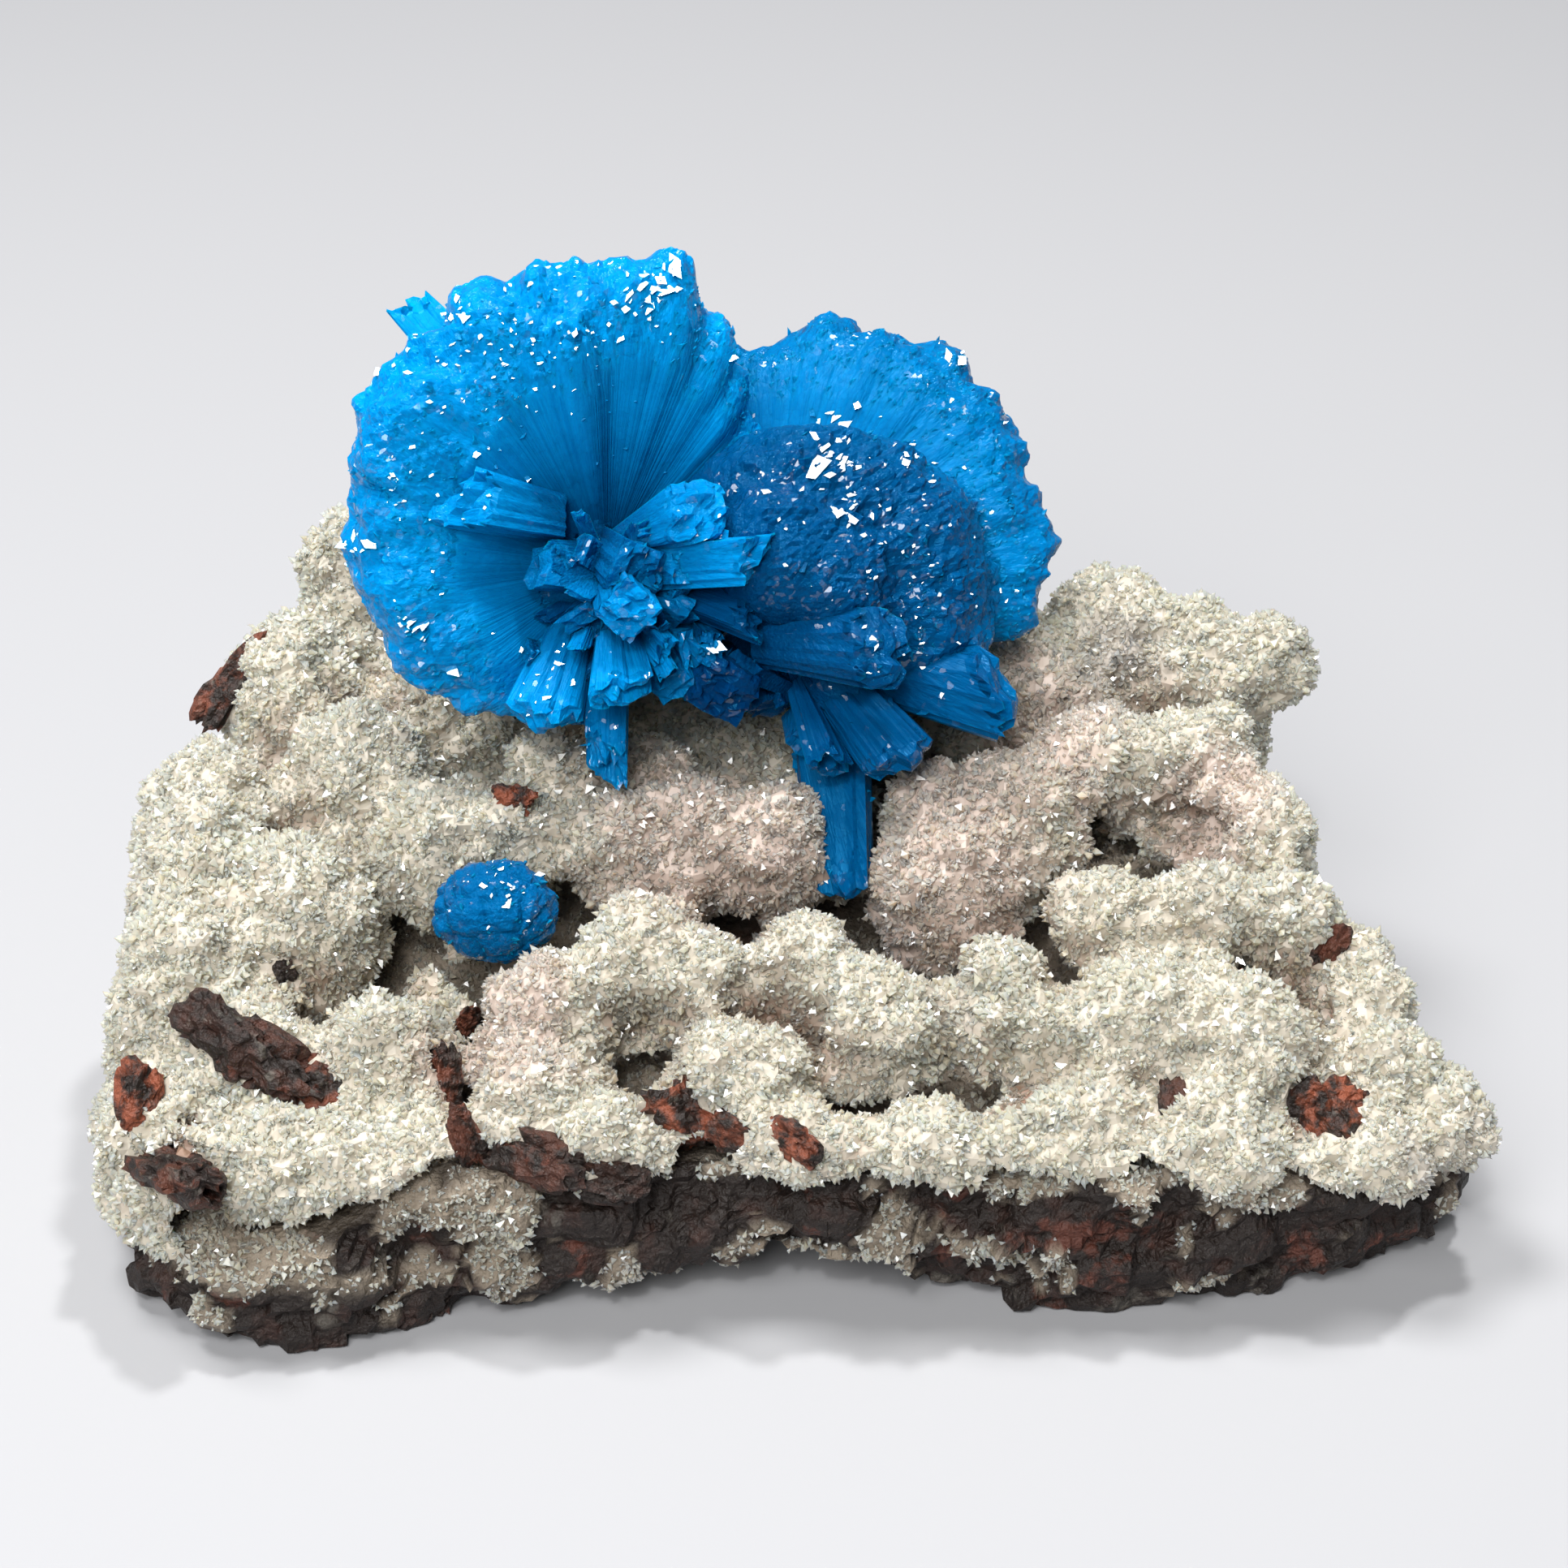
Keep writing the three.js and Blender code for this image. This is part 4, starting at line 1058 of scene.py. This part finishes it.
def sheaf_core(heart, axis, length, half, seed, lobes=1, around=40, rings=5, dome_rings=8):
    """One sheaf: a cone of blades from the heart, shorter outside, so that it ends in a dome."""
    side, other = frame_round(axis)
    turn = np.linspace(0, 2 * np.pi, around, endpoint=False)
    round_way = np.cos(turn)[:, None] * side + np.sin(turn)[:, None] * other
    flute = 0.05 * rough_noise(round_way * 2.2, 1, seed)
    points = [heart[None]]
    for ring in range(1, rings + dome_rings):
        along = min(ring / rings, 1)
        share = 1 - max(ring - rings, 0) / dome_rings
        ways = unit(axis + np.tan(half * share * (1 + flute))[:, None] * round_way)
        out = length * along * (1 - SHORT_OUTER_BLADES * share**2.2)
        points.append(heart + ways * (out * spray_reach(ways, seed, lobes))[:, None])
    points.append(heart + axis[None] * length * spray_reach(axis[None], seed, lobes)[:, None])
    last = 1 + around * (rings + dome_rings - 1)
    here = np.arange(around)
    after = (here + 1) % around
    faces = [np.stack([np.zeros(around, int), 1 + after, 1 + here], axis=1)]
    for ring in range(rings + dome_rings - 2):
        a, b = 1 + ring * around, 1 + (ring + 1) * around
        faces.append(np.stack([a + here, a + after, b + here], axis=1))
        faces.append(np.stack([a + after, b + after, b + here], axis=1))
    a = last - around
    faces.append(np.stack([a + here, a + after, np.full(around, last)], axis=1))
    return np.vstack(points), np.vstack(faces)


def view_place(heart, right, up, near):
    """A place given as the viewer sees it from a heart: right, up and nearer, in millimetres."""
    return heart + right * RIGHTWARD + up * UPWARD + near * TOWARDS


def blade_block(heart, start, end, width, thick, turn, flare, seed, cuts):
    """A block of blades side by side, narrow where it starts, with flat sides and a slanting end."""
    start, end = view_place(heart, *start), view_place(heart, *end)
    axis = unit(end - start)
    side = unit(np.cross(axis, TOWARDS))
    other = np.cross(axis, side)
    c, s = math.cos(math.radians(turn)), math.sin(math.radians(turn))
    side, other = c * side + s * other, c * other - s * side
    cube = bmesh.new()
    bmesh.ops.create_cube(cube, size=2)
    bmesh.ops.subdivide_edges(cube, edges=cube.edges[:], cuts=cuts, use_grid_fill=True)
    bmesh.ops.triangulate(cube, faces=cube.faces[:])
    square = np.array([vertex.co for vertex in cube.verts])
    faces = np.array([[vertex.index for vertex in face.verts] for face in cube.faces])
    cube.free()
    share = (square[:, 2] + 1) / 2
    spread = flare + (1 - flare) * share
    flute = 1 + 0.07 * rough_noise(square * (5, 5, 0.3), 1, seed)
    bundles = 0.09 * cells(square * (2, 2, 0) + seed, 1, seed)[0]
    slant = lattice_value(seed, 1, 0, 8) * square[:, 0] + lattice_value(seed, 2, 0, 8) * square[:, 1]
    length = np.linalg.norm(end - start) * share * (1 + 0.12 * slant + bundles)
    roundness = 0.4 * min(max(width - 2.6, 0), 1)
    wide = square[:, 0] * np.sqrt(1 - roundness * square[:, 1] ** 2)
    deep = square[:, 1] * np.sqrt(1 - roundness * square[:, 0] ** 2)
    length = length * (1 - 0.3 * roundness * (wide**2 + deep**2) * share)
    points = (
        start
        + (wide * spread * flute * width / 2)[:, None] * side
        + (deep * np.sqrt(spread) * flute * thick / 2)[:, None] * other
        + length[:, None] * axis
    )
    return points, faces, 0.25 + 0.75 * (square[:, 2] > 0.99)


def shards(count, middle, reach, random):
    """Rows of short loose blades that point every way from the middle of a heart."""
    rows = []
    for _ in range(count):
        clock, lean = random.uniform(0, 2 * math.pi), math.radians(random.uniform(20, 85))
        way = np.array([math.cos(clock) * math.cos(lean), math.sin(clock) * math.cos(lean), math.sin(lean)])
        start = middle + way * reach * random.uniform(0.1, 0.5)
        end = middle + way * reach * random.uniform(0.7, 1.1) + random.normal(0, 0.5, 3)
        width = random.uniform(0.7, 2.2)
        thick = width * random.uniform(0.35, 0.8)
        # Each shard gets a random darkness, as painted shade that gives the heart depth
        turn, flare, shade = random.uniform(0, 90), random.uniform(0.5, 1.0), random.uniform(0.1, 0.9)
        rows.append((tuple(start), tuple(end), width, thick, turn, flare, shade))
    return rows


def rim_blades(points, faces, share, heart, count, random):
    """Chisel-ended blades that stand out of a skin along the rays from the heart."""
    corners = points[faces]
    out = np.cross(corners[:, 1] - corners[:, 0], corners[:, 2] - corners[:, 0])
    share = np.linalg.norm(out, axis=1) * share
    feet, chosen = places_on(corners, share, count, random)
    rays = unit(feet - heart)
    second = unit(np.cross(rays, unit(out[chosen])))
    first = np.cross(second, rays)
    wide = RIM_BLADE_MM * random.lognormal(0, 0.35, count)[:, None] / 2
    thin = 0.45 * wide
    slant = wide * random.uniform(-1, 1, size=(count, 1))
    end = feet + rays * wide * random.uniform(-0.2, 1, size=(count, 1))
    tips = [
        feet - rays * 1.2,
        end + first * thin,
        end + second * wide + rays * slant,
        end - first * thin,
        end - second * wide - rays * slant,
    ]
    return np.stack(tips, axis=1).reshape(-1, 3), repeated(WEDGE, len(tips), count)


def bright_faces(points, faces, rows, random):
    """Clusters of flat blade faces that catch the main light, each a small wedge sunk in the skin."""
    skin = BVHTree.FromPolygons(points.tolist(), faces.tolist())
    corners = []
    for right, up, spread, count, size in rows:
        for _ in range(count):
            across, along = random.normal(0, spread / 2, 2)
            place, out = seen_at(right + across, up + along, skin)
            if place.ndim == 0:
                continue
            to_light = unit(KEY_LIGHT_M / MM - place)
            to_viewer = unit(TARGET_MM + CAMERA_DISTANCE_MM * TOWARDS - place)
            facing = unit(to_light + to_viewer + random.normal(0, 0.06, 3))
            side = unit(np.cross(facing, random.normal(size=3)))
            other = np.cross(facing, side)
            wide = size * random.lognormal(0, 0.4) / 2
            thin = wide * random.uniform(0.3, 0.8)
            place = place + 0.06 * out
            corners += [
                place - 0.8 * out,
                place + side * wide + other * thin * random.uniform(-0.2, 1),
                place + other * thin - side * wide * random.uniform(-0.2, 1),
                place - side * wide - other * thin * random.uniform(-0.2, 1),
                place - other * thin + side * wide * random.uniform(-0.2, 1),
            ]
    wedge_corners = WEDGE.max() + 1
    return np.array(corners), repeated(WEDGE, wedge_corners, len(corners) // wedge_corners)


def facets_group():
    """Flat facets that tilt every way: a height to bump with, and a tone for each facet."""
    group = bpy.data.node_groups.new("crystal facets", "ShaderNodeTree")
    size = group.interface.new_socket("Size", in_out="INPUT", socket_type="NodeSocketFloat")
    size.default_value = 0.5
    group.interface.new_socket("Height", in_out="OUTPUT", socket_type="NodeSocketFloat")
    group.interface.new_socket("Tone", in_out="OUTPUT", socket_type="NodeSocketFloat")
    entry = node(group, "NodeGroupInput", (-1100, -200))
    place = node(group, "ShaderNodeTexCoord", (-1100, 200))
    millimetres = node(group, "ShaderNodeVectorMath", (-900, 200), operation="SCALE")
    millimetres.inputs["Scale"].default_value = 1000
    scale = node(group, "ShaderNodeMath", (-900, -200), operation="DIVIDE")
    scale.inputs[0].default_value = 1
    voronoi = node(group, "ShaderNodeTexVoronoi", (-700, 0))
    tilt = node(group, "ShaderNodeVectorMath", (-500, 100), operation="SUBTRACT")
    tilt.inputs[1].default_value = (0.5, 0.5, 0.5)
    height = node(group, "ShaderNodeVectorMath", (-300, 200), operation="DOT_PRODUCT")
    parts = node(group, "ShaderNodeSeparateColor", (-500, -200))
    leave = node(group, "NodeGroupOutput", (0, 0))
    link = group.links.new
    link(place.outputs["Object"], millimetres.inputs[0])
    link(entry.outputs["Size"], scale.inputs[1])
    link(millimetres.outputs[0], voronoi.inputs["Vector"])
    link(scale.outputs[0], voronoi.inputs["Scale"])
    link(voronoi.outputs["Color"], tilt.inputs[0])
    link(tilt.outputs[0], height.inputs[0])
    link(millimetres.outputs[0], height.inputs[1])
    link(voronoi.outputs["Color"], parts.inputs[0])
    link(height.outputs["Value"], leave.inputs["Height"])
    link(parts.outputs[1], leave.inputs["Tone"])
    return group


crystal_facets = facets_group()


def radial_streaks_group():
    """Streaks that run out from a heart: a fine mask and a broad one. Fineness is across a turn."""
    group = bpy.data.node_groups.new("blade streaks", "ShaderNodeTree")
    heart = group.interface.new_socket("Heart", in_out="INPUT", socket_type="NodeSocketVector")
    heart.default_value = (0, 0, 0)
    fineness = group.interface.new_socket("Fineness", in_out="INPUT", socket_type="NodeSocketFloat")
    fineness.default_value = 40
    group.interface.new_socket("Fine", in_out="OUTPUT", socket_type="NodeSocketFloat")
    group.interface.new_socket("Broad", in_out="OUTPUT", socket_type="NodeSocketFloat")
    entry = node(group, "NodeGroupInput", (-900, 0))
    place = node(group, "ShaderNodeTexCoord", (-900, 300))
    away = node(group, "ShaderNodeVectorMath", (-700, 200), operation="SUBTRACT")
    ray = node(group, "ShaderNodeVectorMath", (-500, 200), operation="NORMALIZE")
    fine = node(group, "ShaderNodeTexNoise", (-300, 200))
    fine.inputs["Detail"].default_value = 3
    broad = node(group, "ShaderNodeTexNoise", (-300, -100))
    broad.inputs["Scale"].default_value = 7
    broad.inputs["Detail"].default_value = 2
    leave = node(group, "NodeGroupOutput", (100, 0))
    link = group.links.new
    link(place.outputs["Object"], away.inputs[0])
    link(entry.outputs["Heart"], away.inputs[1])
    link(away.outputs[0], ray.inputs[0])
    link(ray.outputs[0], fine.inputs["Vector"])
    link(entry.outputs["Fineness"], fine.inputs["Scale"])
    link(ray.outputs[0], broad.inputs["Vector"])
    link(fine.outputs[0], leave.inputs["Fine"])
    link(broad.outputs[0], leave.inputs["Broad"])
    return group


blade_streaks = radial_streaks_group()


def mapped(tree, place, value, low, high, to_low=0.0, to_high=1.0):
    """A value moved from one range to another, and held at its ends."""
    made = node(tree, "ShaderNodeMapRange", place)
    tree.links.new(value, made.inputs["Value"])
    for label, number in (("From Min", low), ("From Max", high), ("To Min", to_low), ("To Max", to_high)):
        made.inputs[label].default_value = number
    return made.outputs[0]


def cavansite_finish(name, heart, fineness):
    """Azure blades: painted shade near the heart and from the shade value, a painted cyan glow at the rims,
    silky at the sides, faceted at the ends, with bright faces.
    """
    finish, tree, shader = new_finish(name)
    streaks = node(tree, "ShaderNodeGroup", (-1500, 300), node_tree=blade_streaks)
    streaks.inputs["Heart"].default_value = tuple(heart * MM)
    streaks.inputs["Fineness"].default_value = fineness
    large = node(tree, "ShaderNodeGroup", (-1500, 0), node_tree=crystal_facets)
    large.inputs["Size"].default_value = 1.1
    small = node(tree, "ShaderNodeGroup", (-1500, -200), node_tree=crystal_facets)
    small.inputs["Size"].default_value = 0.34
    reach = attribute(tree, (-1500, -400), "reach")
    ends = attribute(tree, (-1500, -600), "ends")
    shade = attribute(tree, (-1500, -800), "shade")
    silk = mapped(tree, (-1200, 300), streaks.outputs["Fine"], 0.35, 0.65, 0, 0.55)
    broad = mapped(tree, (-1200, 100), streaks.outputs["Broad"], 0.4, 0.65, 0, 0.45)
    clouds = blotches(tree, (-1200, 500), 1.6, 0.5, 0.25, 2.0)
    cloudy = mapped(tree, (-1050, 500), clouds, 0, 1, 0, 0.4)
    # Painted shade in the hollow heart: the blue darkens towards the heart
    heart_shade = mapped(tree, (-1200, -100), reach, 0.6, 0.12, 0, 0.9)
    # Painted glow: the outermost reach is tinted cyan, as if lit through the thin rims
    edge = mapped(tree, (-1200, -300), reach, 0.86, 1, 0, 0.35)
    tone = mapped(tree, (-1200, -500), small.outputs["Tone"], 0.3, 1, 0, 0.15)
    end_tone = multiplied(tree, (-1000, -500), tone, ends)
    colour = tint(tree, (-900, 300), AZURE, DEEP_BLUE, silk)
    colour = tint(tree, (-750, 300), colour, DEEP_BLUE, broad)
    colour = tint(tree, (-680, 300), colour, DEEP_BLUE, cloudy)
    colour = tint(tree, (-600, 300), colour, DEEP_BLUE, end_tone)
    colour = tint(tree, (-450, 300), colour, SHADE_BLUE, heart_shade)
    # The mesh's shade value darkens the blue: painted shade on the rosettes' ends, blocks and shards
    colour = tint(tree, (-300, 300), colour, SHADE_BLUE, shade)
    colour = tint(tree, (-150, 300), colour, RIM_GLOW_CYAN, edge)
    tree.links.new(colour, shader.inputs["Base Color"])
    tilted = node(tree, "ShaderNodeMath", (-900, -900), operation="MULTIPLY_ADD")
    tree.links.new(small.outputs["Height"], tilted.inputs[0])
    tilted.inputs[1].default_value = 0.8
    tree.links.new(large.outputs["Height"], tilted.inputs[2])
    facet_depth = mapped(tree, (-900, -1100), ends, 0, 1, 0.1, 0.13)
    faceted = multiplied(tree, (-700, -900), tilted.outputs[0], facet_depth)
    raised = bump(tree, (-500, -500), streaks.outputs["Fine"], 0.5, 0.0003)
    raised = bump(tree, (-300, -500), faceted, 1, 0.001, raised)
    tree.links.new(raised, shader.inputs["Normal"])
    mirror = attribute(tree, (-1500, -1000), "mirror")
    not_mirror = mapped(tree, (-700, -800), mirror, 0, 1, 1, 0)
    uneven = multiplied(tree, (-500, -800), tilted.outputs[0], not_mirror)
    glinting = bump(tree, (-300, -800), uneven, 1, 0.0007)
    tree.links.new(glinting, shader.inputs["Coat Normal"])
    sparkle = mapped(tree, (-700, -1100), small.outputs["Tone"], 0.72, 0.74)
    cluster = blotches(tree, (-700, -1300), 4, 0.58, 0.1, 21.0)
    clustered = multiplied(tree, (-500, -1100), sparkle, cluster)
    at_ends = multiplied(tree, (-300, -1100), clustered, ends)
    glossy = node(tree, "ShaderNodeMath", (-150, -1100), operation="MAXIMUM")
    tree.links.new(at_ends, glossy.inputs[0])
    tree.links.new(mirror, glossy.inputs[1])
    tree.links.new(glossy.outputs[0], shader.inputs["Coat Weight"])
    shader.inputs["Coat Roughness"].default_value = 0.03
    shader.inputs["Coat IOR"].default_value = 1.6
    roughness = mapped(tree, (-300, -100), ends, 0, 1, SILK_ROUGHNESS, END_ROUGHNESS)
    tree.links.new(roughness, shader.inputs["Roughness"])
    shader.inputs["IOR"].default_value = 1.54
    shader.inputs["Specular IOR Level"].default_value = 0.15
    shader.inputs["Specular Tint"].default_value = BLUE_GLINT
    shader.inputs["Subsurface Weight"].default_value = 0.25
    shader.inputs["Subsurface Radius"].default_value = (0.1, 0.6, 1.0)
    shader.inputs["Subsurface Scale"].default_value = 0.0012
    return finish


def rosette(name, heart, sheaves, blocks, tangles, bright_rows, end_shade, seed):
    """One rosette: sheaves melted into one silky skin, blocks and shards of blades, teeth on the
    rims and bright faces. End shade is how dark the rosette is painted all over, and more at the
    ends towards the viewpoint: painted shade, which also stands for the deeper blue of blades seen
    end-on. It is a fixed value of the mesh, so it stays on the same blades in every view."""
    random = np.random.default_rng(seed)
    loose = []
    for count, middle, reach in tangles:
        loose += shards(count, np.array(middle), reach, random)
    cores = []
    for clock, lean, length, half, *lobes in sheaves:
        cores.append(sheaf_core(heart, aim(clock, lean), length, math.radians(half), seed, *lobes))
    skin, skin_faces, skin_out = even_grain(*together(cores), SILK_GRAIN_MM, SILK_ROUNDS)
    away = np.linalg.norm(skin - heart, axis=1)
    rays = unit(skin - heart)
    silk = 0.08 * rough_noise(rays * 14, 1, seed + 3) + 0.05 * rough_noise(rays * 42, 1, seed + 4)
    skin = skin + skin_out * (smooth_step(away, 1, 12) * silk)[:, None]
    outward = (skin_out * rays).sum(axis=1)
    at_rim = smooth_step(outward, 0.25, 0.7) * smooth_step(away, 7, 10)
    facets = 0.12 * cells(skin, 1.1, seed + 5)[0] + 0.09 * cells(skin, 0.5, seed + 6)[0]
    end_on = end_shade * smooth_step(rays @ TOWARDS, 0.35, 0.75)
    facets += 0.5 * end_on * (cells(skin, 1.6, seed + 7)[0] * 0.25 + facets)
    skin = skin + rays * (at_rim * facets)[:, None]
    rim = smooth_step(outward, 0.1, 0.4) * smooth_step(-outward, -0.85, -0.5) + 0.04
    rim = rim * smooth_step(away, 8, 12)
    shapes, ends, shades = [(skin, skin_faces)], [smooth_step(outward, 0.2, 0.7)], [0 * away]
    share = [rim[skin_faces].mean(axis=1)]
    for number, (*row, shade) in enumerate(blocks + loose):
        cuts = BLOCK_CUTS if number < len(blocks) else SHARD_CUTS
        block, block_faces, at_end = blade_block(heart, *row, seed + 20 + number, cuts)
        shapes.append((block, block_faces))
        ends.append(at_end)
        shades.append(np.full(len(block), shade))
        share.append(0.1 * (at_end[block_faces].min(axis=1) == 1))
    body, body_faces = together(shapes)
    blades, blade_faces = rim_blades(body, body_faces, np.concatenate(share), heart, RIM_BLADES, random)
    bright, bright_sides = bright_faces(body, body_faces, bright_rows, random)
    points, faces = together([(body, body_faces), (blades, blade_faces), (bright, bright_sides)])
    mirror = np.concatenate([np.zeros(len(body) + len(blades)), np.ones(len(bright))])
    reach = np.minimum(np.linalg.norm(body - heart, axis=1) / FULL_REACH_MM, 1)
    blade_reach = np.tile([0.6, 0.9, 0.9, 0.9, 0.9], RIM_BLADES)
    reach = np.concatenate([0.86 * reach, blade_reach, np.full(len(bright), 0.7)])
    ends = np.concatenate([*ends, np.full(len(blades), 0.6), np.ones(len(bright))])
    shades = np.concatenate([*shades, np.zeros(len(blades) + len(bright))])
    # Painted shade: the whole rosette is darkened by its end shade, and more where points lie towards the
    # viewpoint from the heart, which also stands for the deeper blue of blades seen end-on. Blocks and
    # shards keep their own painted shade where it is darker.
    end_on = smooth_step(unit(points - heart) @ TOWARDS, 0.1, 0.7)
    end_on = end_shade * (0.7 * end_shade + (1 - 0.7 * end_shade) * end_on)
    shade = np.maximum(shades, end_on)
    soft = np.zeros(len(faces), bool)
    soft[: len(skin_faces)] = at_rim[skin_faces].max(axis=1) < 0.3
    piece = mesh_piece(name, points, faces, soft, reach=reach, ends=ends, shade=shade, mirror=mirror)
    piece.data.materials.append(cavansite_finish(name.replace("_", " "), heart, 45))
    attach(piece, "root")
    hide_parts("cavansite_rosettes")


left_sheaves = fan(LEFT_FAN, 9) + LEFT_SHEAVES
rosette("left_rosette", LEFT_HEART_MM, left_sheaves, LEFT_BLOCKS, LEFT_TANGLES, LEFT_BRIGHT, 0.35, 300)
right_sheaves = fan(RIGHT_FAN, 7) + fan(DOME_FAN, 10) + RIGHT_SHEAVES
rosette("right_rosette", RIGHT_HEART_MM, right_sheaves, RIGHT_BLOCKS, RIGHT_TANGLES, RIGHT_BRIGHT, 0.9, 700)

# Small ball of cavansite
# A third spray lies alone in a hollow of the crust. Its blades point every way, so it is a
# small ball with a rough, glittering surface.
BALL_RADII_MM = np.array([3.2, 2.6, 2.6])
BALL_TEETH = 120
BALL_KNOB = 0.04
BALL_CREASE = 0.07
BALL_BRIGHT = [(-14.6, -5.4, 1.8, 14, 0.3)]
random = np.random.default_rng(900)
rays, ball_faces = rounded_lump(np.zeros(3), 1, 6)
facets, gap = cells(rays, 0.62, 905)
ball_reach = 0.93 * spray_reach(rays, 910, 0.6) + BALL_KNOB * facets
ball_reach = ball_reach + BALL_CREASE * smooth_step(gap, 0, 0.5)
ball_points = ball_centre + rays * ball_reach[:, None] * BALL_RADII_MM
teeth, teeth_faces = rim_blades(
    ball_points, ball_faces, np.ones(len(ball_faces)), ball_centre, BALL_TEETH, random
)
bright, bright_sides = bright_faces(ball_points, ball_faces, BALL_BRIGHT, random)
points, faces = together([(ball_points, ball_faces), (teeth, teeth_faces), (bright, bright_sides)])
teeth_reach = np.tile([0.5, 0.95, 0.95, 0.95, 0.95], BALL_TEETH)
reach = np.concatenate([np.full(len(rays), 0.7), teeth_reach, np.full(len(bright), 0.7)])
mirror = np.concatenate([np.zeros(len(rays) + len(teeth)), np.ones(len(bright))])
ends = np.full(len(reach), 0.9)
shade = np.full(len(reach), 0.75)
ball = mesh_piece("blue_ball", points, faces, reach=reach, ends=ends, shade=shade, mirror=mirror)
ball.data.materials.append(cavansite_finish("ball blue", ball_centre, 20))
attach(ball, "root")
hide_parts("cavansite_ball")

# Floor, light and camera
# A pale studio table. The main light is high on the left, a large weak one stands in front, and
# two small ones add glints.
FLOOR_M = 4
FLOOR_GAP_M = 0.0001
AIM_HEIGHT_M = 0.02
bpy.ops.mesh.primitive_plane_add(size=FLOOR_M, location=(0, 0, -FLOOR_GAP_M))
floor = bpy.context.object
floor.name = "studio_floor"
pale, _, floor_shader = new_finish("pale floor")
floor_shader.inputs["Base Color"].default_value = (0.32, 0.32, 0.33, 1)
floor_shader.inputs["Roughness"].default_value = 0.8
floor.data.materials.append(pale)


def soft_light(name, place, size, power):
    """A square studio light, aimed at the middle of the specimen."""
    data = bpy.data.lights.new(name, "AREA")
    data.size = size
    data.energy = power
    lamp = bpy.data.objects.new(name, data)
    lamp.location = place
    towards = Vector((0, 0, AIM_HEIGHT_M)) - Vector(place)
    lamp.rotation_euler = towards.to_track_quat("-Z", "Y").to_euler()
    bpy.context.collection.objects.link(lamp)


soft_light("key_light", tuple(KEY_LIGHT_M), 0.14, 2.0)
soft_light("front_fill", (-0.12, -0.36, 0.38), 0.3, 3.1)
soft_light("glint_light", (0.10, 0.10, 0.50), 0.04, 1.8)
soft_light("front_glint", (-0.05, -0.35, 0.45), 0.04, 0.9)
world = bpy.data.worlds.new("studio")
world.use_nodes = True
world.node_tree.nodes["Background"].inputs["Color"].default_value = (0.8, 0.85, 0.9, 1)
world.node_tree.nodes["Background"].inputs["Strength"].default_value = 0.1
bpy.context.scene.world = world
bpy.context.scene.view_settings.view_transform = "Standard"

SENSOR_MM = 36
SHOT_WIDTH_MM = 79.8
camera_data = bpy.data.cameras.new("camera")
camera_data.lens = SENSOR_MM * CAMERA_DISTANCE_MM / SHOT_WIDTH_MM
camera = bpy.data.objects.new("camera", camera_data)
camera.location = (TARGET_MM + CAMERA_DISTANCE_MM * TOWARDS) * MM
camera.rotation_euler = Vector(-TOWARDS).to_track_quat("-Z", "Y").to_euler()
camera_data.clip_start = 0.01
bpy.context.collection.objects.link(camera)
bpy.context.scene.camera = camera
